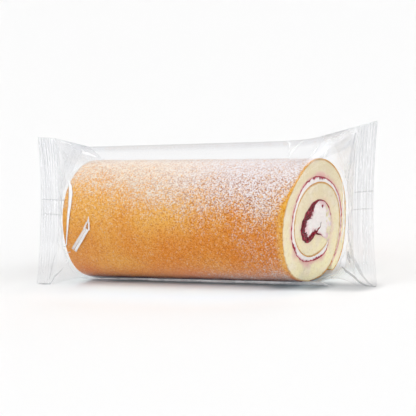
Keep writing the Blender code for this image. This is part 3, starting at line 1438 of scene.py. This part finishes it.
@dataclass(frozen=True)
class FilmBag:
    """The clear bag: film round the roll, gathered shoulders and two crimped seals.

    A place on it is a run and an angle. The run counts five zones from the left edge: left
    seal, left shoulder, body, right shoulder and right seal. The angle goes in degrees from
    the back over the top, at 90, and down the front.
    """

    cake: CakeForm = CakeForm()
    gap: float = 0.0005
    tent_radius: float = 0.0401
    tent_left: float = 35.8
    tent_right: float = 39.1
    tent_softness: float = 4.0
    right_lift: float = 0.0020
    lift_power: int = 16
    seam_angle: float = 4.0
    seam_half: float = 7.5
    seam_relief: float = 0.0006
    rim_gap: float = 0.0020
    rise_left: float = 0.0012
    rise_right: float = 0.0034
    waist: float = 0.0025
    pleats: int = 8
    pleat_depth: float = 0.0011
    crease_depth: float = 0.0006
    half_thickness: float = 0.00015
    bow: float = 0.0030
    squareness: float = 0.30
    crimp_pitch: float = 0.0021
    crimp_depth: float = 0.00013
    seal_width: float = 0.0150
    sides: int = 320
    seal_rows: int = 57
    shoulder_rows: int = 41
    body_rows: int = 81
    left_outer: SealLine = SealLine((-0.1205, -0.0355, 0.0006), (-0.1373, 0.0050, 0.0956))
    left_inner: SealLine = SealLine((-0.1055, -0.0355, 0.0006), (-0.1223, 0.0050, 0.0948))
    right_outer: SealLine = SealLine((0.1352, -0.0162, 0.0006), (0.1373, 0.0000, 0.1034))
    right_inner: SealLine = SealLine((0.1202, -0.0162, 0.0006), (0.1223, 0.0000, 0.1000))

    def radius(self, angles: Grid, along: Grid) -> Grid:
        """Radius of the film: the cake's outline, or the tent's slope t / cos(angle) if larger.

        Args:
            angles: angle round the pack.
            along: share of the way from the left rim to the right one.

        Returns:
            The radius, with the lap seam's relief on it.
        """
        from_top = np.sqrt((angles - 90.0) ** 2 + self.tent_softness ** 2)
        from_top = np.where(angles < -90.0, 180.0, from_top)
        tent = self.tent_left + (self.tent_right - self.tent_left) * along
        slope = np.radians(np.clip(tent + self.tent_softness - from_top, 0.0, 60.0))
        hugging = self.cake.outline(angles, along) + self.gap
        seam = self.seam_relief * self.in_seam(angles)
        return np.maximum(hugging, self.tent_radius / np.cos(slope)) + seam

    def in_seam(self, angles: Grid) -> Grid:
        """1 on the lap seam along the back, 0 elsewhere."""
        return smooth((self.seam_half - np.abs(angles - self.seam_angle)) / 1.2 + 0.5)

    def body(self, angles: Grid, along: Grid) -> Grid:
        """Film round the roll: its radius times the angle's cosine and sine, flat below.

        Args:
            angles: angle round the pack.
            along: share of the way from the left rim to the right one.

        Returns:
            The points, drawn up a little over the top near the right rim.
        """
        cake, turn = self.cake, np.radians(angles)
        radius = self.radius(angles, along)
        height = cake.axis_z + np.maximum(radius * np.sin(turn), -cake.base_depth - self.gap)
        over_top = np.clip(np.sin(turn), 0.0, 1.0) ** 4
        height = height + self.right_lift * along ** self.lift_power * over_top
        left = cake.end_x(height, 0.0 * height) - self.rim_gap
        right = cake.end_x(height, 0.0 * height + 1.0) + self.rim_gap
        across = cake.middle_y + radius * np.cos(turn)
        return np.stack([left + (right - left) * along, across, height], axis=-1)

    def seal(self, angles: Grid, line: SealLine) -> Grid:
        """Flat ring round a seal line: sin(angle) runs up it and cos gives its two faces.

        Args:
            angles: angle round the pack.
            line: the seal line.

        Returns:
            The points, with the line bowed towards the cake at mid height.
        """
        bottom, top = np.array(line.bottom), np.array(line.top)
        up, side = np.sin(np.radians(angles)), np.cos(np.radians(angles))
        side = np.sign(side) * np.abs(side) ** self.squareness
        ring = (top + bottom) / 2 + up[..., None] * (top - bottom) / 2
        ring = ring + self.half_thickness * side[..., None] * self.facing(line)
        ring[..., 0] -= np.sign(bottom[0]) * self.bow * (1.0 - up ** 2)
        return ring

    @staticmethod
    def facing(line: SealLine) -> Grid:
        """Unit vector square to a seal.

        Args:
            line: the seal's line.

        Returns:
            The vector, which points to the back.
        """
        rise = np.array(line.top) - np.array(line.bottom)
        back = np.array([0.0, rise[2], -rise[1]])
        return back / np.linalg.norm(back)

    def shoulder(self, angles: Grid, share: Grid, rim: Grid, inner: Grid, rise: float,
                 seed: int) -> Grid:
        """Straight lines from rim to seal, drawn in, gathered in pleats and creased.

        The waist is a sine of the share, the pleats a wave round the film that is deepest
        near the seal, and the creases are ridged waves.

        Args:
            angles: angle round the pack.
            share: share of the way from the rim to the seal.
            rim: the body's last ring.
            inner: the seal's first ring.
            rise: how far the film lifts off the ground between them.
            seed: seed of the creases.

        Returns:
            The points.
        """
        turn = np.radians(angles)
        point = rim + (inner - rim) * share[..., None]
        across = np.cos(turn)
        pleat = np.sin(np.pi * share ** 2) * np.cos(2 * self.pleats * turn)
        folds = np.stack([share * 0.012, np.sin(turn) * 0.05, across * 0.02], axis=-1)
        ridge = 1.0 - 2.0 * np.abs(waves(folds, 0.011, seed, 12)) / 1.6
        crease = self.crease_depth * ridge * np.sin(np.pi * share) ** 0.7
        point[..., 1] += across * (self.pleat_depth * pleat - self.waist * np.sin(np.pi * share))
        point[..., 1] += across * crease
        low = np.clip(-np.sin(turn), 0.0, 1.0) ** 2
        point[..., 2] += rise * np.sin(np.pi * share ** 1.4) * low
        return point

    def seal_zone(self, angles: Grid, share: Grid, inner: SealLine, outer: SealLine) -> Grid:
        """The crimped band: both sheets wave together, sin(2 pi width / pitch).

        Args:
            angles: angle round the pack.
            share: share of the way from the inner line to the outer one.
            inner: the seal's inner line.
            outer: its outer line.

        Returns:
            The points.
        """
        near, far = self.seal(angles, inner), self.seal(angles, outer)
        point = near + (far - near) * share[..., None]
        ends = np.clip(np.minimum(share, 1.0 - share) * 12.0, 0.0, 1.0)
        wave = np.sin(2 * np.pi * share * self.seal_width / self.crimp_pitch) * self.grip(angles)
        return point + (self.crimp_depth * wave * ends)[..., None] * self.facing(outer)

    @staticmethod
    def grip(angles: Grid) -> Grid:
        """How deep the crimps are pressed: fully at the seal's top, a quarter at its foot."""
        return 0.62 + 0.38 * np.sin(np.radians(angles))

    def end(self, rim: float, inner: SealLine, outer: SealLine, rise: float,
            seed: int) -> tuple[Grid, Grid]:
        """Rings of one end of the bag, from the rim outwards.

        Args:
            rim: which of the body's rims it starts from, 0 the left one and 1 the right one.
            inner: the seal's inner line.
            outer: its outer line.
            rise: how far the shoulder lifts off the ground.
            seed: seed of the shoulder's creases.

        Returns:
            The shoulder's rings and the seal's rings.
        """
        angles = self.angles()
        share = np.linspace(0, 1, self.shoulder_rows)[:, None] + 0 * angles
        ring, line = self.body(angles, np.full_like(angles, rim)), self.seal(angles, inner)
        shoulder = self.shoulder(angles + 0 * share, share, ring, line, rise, seed)
        share = np.linspace(0, 1, self.seal_rows)[:, None] + 0 * angles
        return shoulder, self.seal_zone(angles + 0 * share, share, inner, outer)

    def zones(self) -> list[Grid]:
        """Rings of the five zones.

        Returns:
            A grid of points for each zone, from the left edge to the right one.
        """
        left, left_seal = self.end(0.0, self.left_inner, self.left_outer, self.rise_left, 31)
        right, right_seal = self.end(1.0, self.right_inner, self.right_outer, self.rise_right, 32)
        angles = self.angles()
        along = np.linspace(0, 1, self.body_rows)[:, None] + 0 * angles
        body = self.body(angles + 0 * along, along)
        return [left_seal[::-1], left[::-1], body, right, right_seal]

    def angles(self) -> Grid:
        """Angles of a ring, clockwise from the top and back to it."""
        angles = 90.0 - np.linspace(0.0, 360.0, self.sides + 1)
        return np.where(angles <= -180.0, angles + 360.0, angles)

    @staticmethod
    def into_seal(run: Grid) -> Grid:
        """Share of the way through a seal from its inner edge, and below 0 between the seals."""
        return np.maximum(1.0 - run, run - 4.0)

    def in_seal(self, run: Grid) -> Grid:
        """1 in the two seals, 0 between them."""
        return smooth(self.into_seal(run) / 0.08)

    def slack(self, run: Grid, angles: Grid) -> Grid:
        """How loose the film hangs: 0 round the cake and before its cut, 1 in the fins.

        The change from one to the other lies nearer to the cake over its top than in front
        of it.

        Args:
            run: place along the pack.
            angles: angle round the pack.

        Returns:
            The slack for each point.
        """
        top = smooth((np.sin(np.radians(angles)) - 0.76) / 0.12)
        front = smooth(0.5 - 2.0 * np.cos(np.radians(angles))) * (1.0 - top)
        left = smooth((2.0 + 0.03 * top - run) / (0.45 - 0.33 * top))
        right = smooth((run - 3.0 - 0.80 * front) / (0.36 - 0.14 * front))
        return np.maximum(left, right)

    def haze(self, run: Grid, angles: Grid) -> Grid:
        """Share of light that the film itself returns: least in front of the cake.

        Args:
            run: place along the pack.
            angles: angle round the pack.

        Returns:
            The share for each point: more in the fins and seals, and most over the tent's ends.
        """
        loose, up = self.slack(run, angles), np.sin(np.radians(angles))
        top = smooth((up - 0.70) / 0.15) * smooth((run - 1.2) / 0.2) * smooth((3.95 - run) / 0.3)
        haze = 0.008 + 0.010 * loose + (0.010 + 0.010 * up) * self.in_seal(run)
        return haze + 0.11 * top * loose + 0.012 * self.in_seam(angles)

    def kept(self, run: Grid, angles: Grid) -> dict[str, Grid]:
        """Values kept on the points for the film's material.

        Args:
            run: place along the pack.
            angles: angle round the pack.

        Returns:
            The haze, the place, and how far each point lies on the tent, its ridge, the
            gathered ribs beside the seals and the crimps.
        """
        turn, width = np.radians(angles), self.into_seal(run) * self.seal_width
        tent = smooth((np.sin(turn) - 0.70) / 0.2) * smooth(1.5 - np.abs(run - 2.5))
        ribs = np.maximum(smooth((1.18 - run) / 0.14), smooth((run - 3.82) / 0.12))
        ridge = smooth((99.5 - angles) / 4.5) * smooth((angles - 78.0) / 6.0)
        ridge = ridge * smooth(2.1 - np.abs(run - 2.6) * 1.4)
        crimp = self.in_seal(run) * self.grip(angles)
        crimp = crimp * np.sin(2 * np.pi * width / self.crimp_pitch)
        return {"haze": self.haze(run, angles), "up": np.sin(turn), "side": np.cos(turn),
                "ridge": ridge, "run": run, "loose": self.slack(run, angles), "tent": tent,
                "ribs": ribs, "crimp": crimp}

    def build(self, material: bpy.types.Material) -> bpy.types.Object:
        """Makes the bag as one closed sheet; each end is closed across its two edges.

        Args:
            material: the clear sheet.

        Returns:
            The piece.
        """
        angles = self.angles()
        patches = []
        for number, rings in enumerate(self.zones()):
            run = number + np.linspace(0, 1, len(rings))[:, None] + 0 * angles
            patches.append(Patch(rings, self.kept(run, angles + 0 * run)))
        half = len(angles) // 2
        for patch, row in ((patches[0], 0), (patches[-1], -1)):
            fold = [np.stack([values[row, :half + 1], values[row, :half - 1:-1]])
                    for values in (patch.points, *patch.values.values())]
            patches.append(Patch(fold[0], dict(zip(patch.values, fold[1:]))))
        return mesh_piece("film_bag", patches, material)


@dataclass
class FilmSurface:
    """The bag's surface, to lay folds on."""

    bag: FilmBag
    zones: list[Grid] = field(init=False)

    def __post_init__(self) -> None:
        """Keeps the bag's rings."""
        self.zones = self.bag.zones()

    def at(self, run: Grid, angles: Grid) -> Grid:
        """Points of the film, weighted between the four nearest points of its rings.

        Args:
            run: place along the pack.
            angles: angle round the pack.

        Returns:
            The points.
        """
        points = np.zeros((*np.shape(run), 3))
        column = ((90.0 - angles) % 360.0) / 360.0 * self.bag.sides
        zone = np.clip(np.floor(run), 0, 4).astype(int)
        for number, rings in enumerate(self.zones):
            here = zone == number
            row = (run[here] - number) * (len(rings) - 1)
            i, j = row.astype(int).clip(0, len(rings) - 2), column[here].astype(int)
            u, v = (row - i)[:, None], (column[here] - j)[:, None]
            low = rings[i, j] * (1 - v) + rings[i, j + 1] * v
            high = rings[i + 1, j] * (1 - v) + rings[i + 1, j + 1] * v
            points[here] = low * (1 - u) + high * u
        return points

    def outward(self, run: Grid, angles: Grid) -> Grid:
        """Unit vectors square to the film: the cross product of its slopes round and along.

        Args:
            run: place along the pack.
            angles: angle round the pack.

        Returns:
            The vectors, turned away from the pack's axis.
        """
        along = self.at(run + 0.01, angles) - self.at(run - 0.01, angles)
        around = self.at(run, angles + 1.0) - self.at(run, angles - 1.0)
        square, turn = np.cross(around, along), np.radians(angles)
        away = np.stack([0 * turn, np.cos(turn), np.sin(turn)], axis=-1)
        square *= -1.0 if (square * away).sum() < 0 else 1.0
        return square / np.linalg.norm(square, axis=-1, keepdims=True)


@dataclass(frozen=True)
class Fold:
    """A narrow fold that lies on the film, along places of (run, angle, width in mm)."""

    knots: tuple[Point, ...]
    cover: float = 1.0
    lift: float = 0.00012
    height: float = 0.00012
    under: float = 0.2

    def patches(self, surface: FilmSurface, rows: int = 40, columns: int = 7) -> list[Patch]:
        """A closed lens across the line, out over it and back under it, with a cap at each end.

        The height over the line is 1 - u squared, and a share of that under it.

        Args:
            surface: the film.
            rows: points along the line.
            columns: points across each face.

        Returns:
            The lens and its two caps.
        """
        knots, places = np.array(self.knots), np.linspace(0, len(self.knots) - 1, rows)
        run, angle, width = (np.interp(places, range(len(knots)), knots[:, i]) for i in range(3))
        line = surface.at(run, angle)
        ahead = np.gradient(line, axis=0)
        ahead /= np.linalg.norm(ahead, axis=1, keepdims=True)
        out = surface.outward(run, angle)
        side = np.cross(out, ahead) * (width * MM / 2)[:, None]
        u = np.linspace(1, -1, columns)
        u = np.append(u, -u[1:])
        ends = np.clip(np.minimum(places, places[-1] - places) * 4.0, 0.06, 1.0)
        lens = self.height * (1 - u ** 2) * ends[:, None]
        lens[:, columns:] *= -self.under
        ring = line[:, None] + side[:, None] * u[None, :, None]
        ring = ring + out[:, None] * (self.lift + lens)[..., None]
        over, under = ring[:, :columns], ring[:, :columns - 2:-1]
        caps = np.stack([under[0], over[0]]), np.stack([over[-1], under[-1]])
        return [Patch(points, {"cover": np.array(self.cover)}) for points in (ring, *caps)]


@dataclass(frozen=True)
class Hem:
    """The bag's slack, gathered into a low leaning fold along the foot of the roll's front.

    Start and stop are its left and its right end on the ground, each as (x, y).
    """

    start: Span = (-0.098, -0.0150)
    stop: Span = (0.1030, -0.0165)
    start_height: float = 0.0012
    stop_height: float = 0.0027
    thickness: float = 0.00005
    lean: float = 0.077
    wander: float = 0.0005
    clearance: float = 0.0001

    def patches(self, rows: int = 90, columns: int = 9) -> list[Patch]:
        """A lens in section, 1 - up squared, that rises from the ground and is low at both ends.

        Args:
            rows: points along it.
            columns: points up each face.

        Returns:
            Its back and its front face.
        """
        along = np.linspace(0, 1, rows)[:, None]
        up = np.linspace(-1, 1, columns)[None, :]
        ends = smooth(np.minimum(along, 1.0 - along) * 20.0)
        height = (self.start_height + (self.stop_height - self.start_height) * along) * ends
        x = self.start[0] + (self.stop[0] - self.start[0]) * along
        wander = self.wander * waves(np.stack([x, 0 * x, 0 * x], axis=-1), 0.05, 41) * ends
        z = self.clearance + height * (up + 1) / 2
        y = self.start[1] + (self.stop[1] - self.start[1]) * along + wander + self.lean * z
        lens, x = self.thickness * (1 - up ** 2) * ends, x + 0 * up
        cover = {"cover": np.ones(x.shape)}
        return [Patch(np.stack([x, y + side * lens, z], axis=-1), cover) for side in (1.0, -1.0)]


@dataclass(frozen=True)
class Folds:
    """The folds that show on the bag: white ones that are painted highlights, and grey ones that are
    painted shade.
    """

    # painted highlights: white folds laid where the film mirrors the lamps
    bright: tuple[Fold, ...] = (
        Fold(((1.975, 128.0, 0.3), (2.008, 132.5, 1.4), (2.024, 138, 2.5), (2.037, 146, 3.1),
              (2.043, 156.4, 2.6), (2.041, 167.6, 2.0), (2.034, 180.5, 1.4), (2.018, 195, 0.8),
              (1.94, 207, 0.3)), 0.95),
        Fold(((2.1365, 167.5, 0.4), (2.133, 174, 2.4)), 0.88),
        Fold(((2.1375, 173.0, 1.2), (2.1365, 177, 1.3), (2.1355, 180.6, 1.3)), 0.92),
        Fold(((2.1275, 173.0, 1.1), (2.1205, 176, 1.3), (2.1125, 179.3, 1.4)), 0.80),
        Fold(((2.1306, 180.0, 1.8), (2.092, 191.0, 1.9), (2.0525, 201.4, 1.8)), 0.95),
        Fold(((2.1226, 178.3, 2.1), (2.084, 189.0, 2.2), (2.043, 199.4, 2.0)), 0.62),
        Fold(((1.24, 98.0, 0.3), (1.34, 97.0, 1.3), (1.45, 95.0, 1.2), (1.55, 95.6, 0.4)), 0.7),
        Fold(((2.922, 107.0, 0.8), (2.925, 102.0, 2.8), (2.935, 97.0, 2.0), (2.95, 92.5, 0.7)), 0.8),
        Fold(((3.40, 123.8, 0.5), (3.425, 118.1, 1.4), (3.45, 114.0, 0.6)), 0.8),
        Fold(((4.30, 140.0, 0.4), (4.41, 158.6, 1.0), (4.46, 174.0, 0.6)), 0.7),
        Fold(((4.57, 140.0, 0.4), (4.68, 158.6, 0.9), (4.73, 174.0, 0.6)), 0.6),
        Fold(((4.48, 187.0, 0.8), (4.50, 206.0, 1.5), (4.46, 226.0, 0.9)), 0.7),
        Fold(((4.70, 188.0, 0.6), (4.68, 206.0, 1.0), (4.64, 226.0, 0.6)), 0.6),
        Fold(((2.030, 202, 0.5), (1.875, 212.6, 0.7), (1.52, 221.6, 0.5)), 0.7),
        Fold(((1.900, 95.6, 0.4), (1.975, 96.6, 2.2), (2.025, 99, 2.8), (2.07, 102.4, 1.0)), 0.7),
        Fold(((4.80, 201, 0.4), (4.857, 197, 0.9), (4.93, 195, 0.8), (4.99, 195, 0.4))),
        Fold(((3.82, 158, 0.3), (3.85, 176.6, 0.8), (3.85, 192.4, 0.8), (3.82, 205, 0.3)), 0.6),
        Fold(((2.875, 91.1, 0.4), (2.90, 95, 1.6), (2.913, 101.5, 0.6)), 0.8),
        Fold(((3.15, 101, 0.4), (3.13, 107, 1.5), (3.075, 111.4, 0.5)), 0.8),
        Fold(((3.79, 231, 3.0), (3.83, 222, 4.0), (3.86, 214, 1.0)), 0.7),
        Fold(((4.10, 114, 1.0), (4.05, 133, 2.4), (4.03, 145, 1.2), (4.02, 158, 0.4)), 0.7),
        Fold(((3.79, 229.6, 0.6), (3.85, 234.0, 0.9), (3.97, 238.6, 0.6)), 0.9))
    # painted shade and dark reflections: grey lines along creases, pleats and seams, and a painted
    # contact shadow under the left seal's foot
    dark: tuple[Fold, ...] = (
        Fold(((0.155, 98.0, 0.5), (0.214, 122.6, 0.8), (0.25, 135, 0.7), (0.29, 147, 0.4)), 0.18),
        Fold(((0.37, 97.0, 0.4), (0.411, 122.6, 0.7), (0.464, 135, 0.6), (0.49, 143, 0.4)), 0.20),
        Fold(((0.515, 98.0, 0.4), (0.554, 123.8, 0.6), (0.589, 137, 0.4)), 0.20),
        Fold(((3.975, 112.5, 0.8), (3.94, 133.9, 1.6), (3.92, 147.4, 1.2), (3.90, 167.6, 0.5)), 0.2),
        Fold(((3.925, 184.5, 0.5), (3.925, 198, 0.9), (3.95, 209.2, 1.2)), 0.22),
        Fold(((3.951, 209.0, 1.0), (3.975, 220.5, 2.2), (4.16, 230, 2.4), (4.40, 242, 1.4),
              (4.80, 262, 0.5)), 0.30),
        Fold(((3.90, 214, 0.8), (3.915, 220, 2.4), (3.93, 225, 0.8)), 0.55),
        Fold(((3.775, 228.4, 0.5), (3.825, 236.2, 1.2), (3.95, 241.5, 1.3), (4.11, 249, 1.2),
              (4.5, 262, 0.9), (4.95, 268, 0.6)), 0.62),
        Fold(((1.30, 230.6, 0.4), (1.0, 243, 1.2), (0.768, 262, 0.6)), 0.22),
        Fold(((0.96, 215, 0.4), (0.82, 226, 1.2), (0.70, 250, 0.6)), 0.15),
        Fold(((0.10, 266, 0.5), (0.45, 268, 0.9), (0.80, 266, 0.5)), 0.75),
        Fold(((4.03, 9.6, 0.5), (4.25, 9.6, 0.9), (4.6, 9.2, 0.9), (4.98, 8.8, 0.6)), 0.20),
        Fold(((3.70, -2.4, 0.4), (4.03, -2.6, 0.6), (4.5, -2.8, 0.8), (4.98, -3.4, 0.5)), 0.17),
        Fold(((0.03, 8.4, 0.5), (0.5, 8.4, 0.9), (1.02, 8.4, 0.9), (1.45, 8.0, 0.4)), 0.26),
        Fold(((0.03, -3.0, 0.5), (0.5, -3.0, 0.9), (1.02, -3.2, 0.7), (1.45, -3.0, 0.4)), 0.24))

    def build(self, bag: FilmBag, finish: FilmFinish) -> list[bpy.types.Object]:
        """Makes a piece of all painted highlight folds, one of all painted shade folds, and the hem.

        Args:
            bag: the bag that they lie on.
            finish: the film's looks.

        Returns:
            The three pieces.
        """
        surface = FilmSurface(bag)
        bright = [patch for fold in self.bright for patch in fold.patches(surface)]
        dark = [patch for fold in self.dark for patch in fold.patches(surface)]
        return [
            mesh_piece("painted_highlight_folds", bright, finish.fold(FilmKind.HIGHLIGHT), False),
            mesh_piece("painted_shade_folds", dark, finish.fold(FilmKind.SHADE), False),
            mesh_piece("foot_fold", Hem().patches(), finish.fold(FilmKind.FOOT))]


# The studio


@dataclass(frozen=True)
class SoftBox:
    """A bright rectangle of sky that the film mirrors: where it stands and how large it is.

    Side and rise are degrees from the front and above the ground. The halves of its width
    and height are given at a distance of 1.
    """

    side: float
    rise: float
    half_width: float
    half_height: float
    power: float
    edge: float = 0.04

    def glow(self, tree: Tree, direction: Socket) -> Socket:
        """Power inside the rectangle, by how far a direction leans along its two edges.

        Args:
            tree: the sky's tree.
            direction: the direction looked in.

        Returns:
            The power in that direction.
        """
        side, rise = math.radians(self.side), math.radians(self.rise)
        ahead = (math.sin(side) * math.cos(rise), -math.cos(side) * math.cos(rise), math.sin(rise))
        across = (math.cos(side), math.sin(side), 0.0)
        up = tuple(np.cross(across, ahead) * -1.0)
        lean = [tree.dot(direction, axis) for axis in (ahead, across, up)]
        front = lean[0].most(0.05)
        width = (lean[1] / front).size().ramp(self.half_width + self.edge, self.half_width)
        height = (lean[2] / front).size().ramp(self.half_height + self.edge, self.half_height)
        return width * height * self.power


@dataclass(frozen=True)
class SoftSun:
    """A wide sun: its power, and in degrees its spread, its rise and its turn from the front."""

    name: str
    power: float
    spread: float
    rise: float
    side: float

    def build(self) -> None:
        """Adds the lamp to the scene."""
        data = bpy.data.lights.new(self.name, "SUN")
        data.energy = self.power
        data.angle = math.radians(self.spread)
        lamp = bpy.data.objects.new(self.name, data)
        lamp.rotation_euler = (math.radians(90.0 - self.rise), 0.0, math.radians(self.side))
        bpy.context.scene.collection.objects.link(lamp)


@dataclass(frozen=True)
class PhotoCamera:
    """The camera that was fitted to the photograph, turned a little round its own axis."""

    yaw: float = 34.3
    elevation: float = 9.0
    roll: float = -5.8
    distance: float = 1.470
    focal_px: float = 2218.0
    frame_px: float = 416.0
    target: Point = (0.0026, 0.0, 0.0471)
    sensor_mm: float = 36.0
    far: float = 60.0

    def build(self) -> None:
        """Adds the camera: its three axes and its place are the columns of its matrix."""
        yaw, tilt, roll = (math.radians(v) for v in (self.yaw, self.elevation, self.roll))
        back = np.array([math.sin(yaw) * math.cos(tilt), -math.cos(yaw) * math.cos(tilt),
                         math.sin(tilt)])
        right = np.cross(-back, Z_AXIS)
        right /= np.linalg.norm(right)
        up = np.cross(right, -back)
        turned = math.cos(roll) * right + math.sin(roll) * up
        over = -math.sin(roll) * right + math.cos(roll) * up
        data = bpy.data.cameras.new("camera")
        data.sensor_width = self.sensor_mm
        data.lens = self.focal_px / self.frame_px * data.sensor_width
        data.clip_end = self.far
        camera = bpy.data.objects.new("camera", data)
        matrix = np.eye(4)
        place = np.array(self.target) + back * self.distance
        matrix[:3] = np.stack([turned, over, back, place], axis=1)
        camera.matrix_world = Matrix(matrix.tolist())
        bpy.context.scene.collection.objects.link(camera)
        bpy.context.scene.camera = camera


@dataclass(frozen=True)
class GroundSpot:
    """A soft painted spot on the ground, of shadow, tint or glow, round a line along X given as its
    two ends' x and its y.

    It starts at the fade's first distance from the line and is full at the second.
    """

    line: Point
    fade: Span
    share: float = 1.0

    def on(self, tree: Tree) -> Socket:
        """Strength of the spot: the distance's smooth step times its share.

        Args:
            tree: the ground's tree.

        Returns:
            The strength, from 0 to the share.
        """
        return self.away(tree).ramp(*self.fade) * self.share

    def away(self, tree: Tree) -> Socket:
        """Distance from the line.

        Args:
            tree: the ground's tree.

        Returns:
            The distance: the root of the squares along and across.
        """
        place = tree.place()
        x, y = tree.dot(place, X_AXIS), tree.dot(place, Y_AXIS)
        along = (self.line[0] - x).most(x - self.line[1]).most(0.0)
        return (along ** 2.0 + (y - self.line[2]) ** 2.0) ** 0.5


@dataclass(frozen=True)
class Ground:
    """White ground with painted shadows along the pack's foot, a painted cool tint near it, and a
    faint painted glow in front and at the right.
    """

    half: float = 9.0
    colour: Colour = (0.84, 0.84, 0.84, 1.0)
    # painted cool tint near the pack, against the warm light the crust throws on the ground
    painted_tint_colour: Colour = (0.80, 0.90, 0.96, 1.0)
    # colour of the painted shadows along the pack's foot
    painted_shadow_colour: Colour = (0.088, 0.10, 0.11, 1.0)
    # painted glow: light that the ground gives off in front of the pack
    painted_glow_colour: Colour = (0.80, 1.0, 1.12, 1.0)
    # painted glow beside the cut end, which lights its lower part
    painted_right_glow_colour: Colour = (1.0, 0.97, 0.94, 1.0)
    dark: Colour = (0.0, 0.0, 0.0, 1.0)
    roughness: float = 0.9
    # where the painted cool tint lies
    near: GroundSpot = GroundSpot((-0.030, 0.025, 0.0), (0.095, 0.045))
    # painted shadow right along the pack's foot
    foot: GroundSpot = GroundSpot((-0.060, 0.066, 0.0), (0.026, 0.010))
    # painted shadows in front of the foot, strongest towards the cut end and faint under the left
    # seal
    painted_shadows: tuple[GroundSpot, ...] = (
        GroundSpot((0.070, 0.090, -0.017), (0.0185, 0.003), 0.78),
        GroundSpot((0.098, 0.124, -0.017), (0.018, 0.003), 0.45),
        GroundSpot((0.060, 0.110, -0.020), (0.034, 0.003), 0.12),
        GroundSpot((-0.112, -0.088, -0.046), (0.030, 0.003), 0.06))
    # painted glow in front of the pack, with a band nearer to it
    glow: GroundSpot = GroundSpot((-0.062, 0.050, 0.0), (0.095, 0.060), 0.05)
    glow_outer: Span = (0.055, 0.033)
    glow_inner: Span = (0.014, 0.030)
    # painted glow beside the cut end
    right: GroundSpot = GroundSpot((0.092, 0.106, 0.008), (0.022, 0.006), 0.05)

    def material(self) -> bpy.types.Material:
        """Makes the ground's material.

        Returns:
            Three colours one over the other: the ground's own, its painted cool tint and its painted
                shadow. The painted glow is light that the ground gives off.
        """
        material = bpy.data.materials.new("white_ground")
        tree = Tree(material)
        colour = tree.mix(self.near.on(tree), self.colour, self.painted_tint_colour)
        colour = tree.mix(self.foot.on(tree), colour, self.painted_shadow_colour)
        for shade in self.painted_shadows:
            colour = tree.mix(shade.on(tree), colour, self.painted_shadow_colour)
        away = self.glow.away(tree)
        band = away.ramp(*self.glow_outer) * away.ramp(*self.glow_inner) * self.glow.share
        light = tree.mix(self.glow.on(tree) + band, self.dark, self.painted_glow_colour)
        light = tree.mix(self.right.on(tree), light, self.painted_right_glow_colour)
        tree.out(tree.principled(Base_Color=colour, Roughness=self.roughness,
                                 Emission_Color=light, Emission_Strength=1.0))
        return material

    def build(self) -> None:
        """Adds the ground, a large square, to the scene."""
        size = self.half
        data = bpy.data.meshes.new("ground")
        data.from_pydata([(-size, -size, 0), (size, -size, 0), (size, size, 0), (-size, size, 0)],
                         [], [(0, 1, 2, 3)])
        data.materials.append(self.material())
        ground = bpy.data.objects.new("ground", data)
        bpy.context.scene.collection.objects.link(ground)


@dataclass(frozen=True)
class Studio:
    """White ground, pale sky with bright boxes, two soft suns and the camera."""

    boxes: tuple[SoftBox, ...] = (
        SoftBox(-54.0, 20.0, 0.05, 0.30, 5.3), SoftBox(95.0, 30.0, 0.04, 0.45, 2.7),
        SoftBox(20.0, 72.0, 0.40, 0.04, 2.7), SoftBox(190.0, 40.0, 0.04, 0.40, 3.5),
        SoftBox(-98.0, 56.0, 0.40, 0.22, 0.12))
    suns: tuple[SoftSun, ...] = (
        SoftSun("key", 0.98, 50.0, 70.0, 0.0), SoftSun("fill", 1.16, 60.0, 20.0, 78.0))
    sky: Colour = (1.0, 1.0, 1.0, 1.0)
    horizon: float = 0.13
    zenith: float = 0.72

    def world(self) -> None:
        """Adds the sky, whose strength rises with the height from horizon to zenith."""
        world = bpy.data.worlds.new("studio")
        tree = Tree(world)
        direction = tree.node("ShaderNodeTexCoord", output="Generated")
        height = tree.node("ShaderNodeSeparateXYZ", {}, {"Vector": direction}, "Z")
        level = height.most(0.0) * (self.zenith - self.horizon) + self.horizon
        for box in self.boxes:
            level = level + box.glow(tree, direction)
        sky = tree.node("ShaderNodeBackground", {}, {"Color": self.sky, "Strength": level})
        tree.out(sky, "ShaderNodeOutputWorld")
        bpy.context.scene.world = world

    def build(self) -> None:
        """Makes the ground, the sky, the suns and the camera."""
        Ground().build()
        self.world()
        for sun in self.suns:
            sun.build()
        PhotoCamera().build()
        bpy.context.scene.view_settings.view_transform = "Standard"


def main() -> None:
    """Builds the pack and its studio."""
    logging.basicConfig(level=logging.INFO, format="%(name)s %(message)s")
    Studio().build()
    dusting, sponge = Dusting(), Sponge()
    filling, bag, film = Filling(sponge), FilmBag(), FilmFinish()
    pieces = [
        sponge.build_crumb(SpongeFinish().material()),
        sponge.build_crust(CrustFinish().material(), dusting),
        filling.build_jam(JamFinish().material()),
        filling.build_cream(CreamFinish().material()),
        IcingSugar(sponge, dusting).build(SugarFinish().material()),
        bag.build(film.sheet()),
        *Folds().build(bag, film)]
    log.info("%d pieces: %s", len(pieces), ", ".join(piece.name for piece in pieces))


if __name__ == "__main__":
    main()
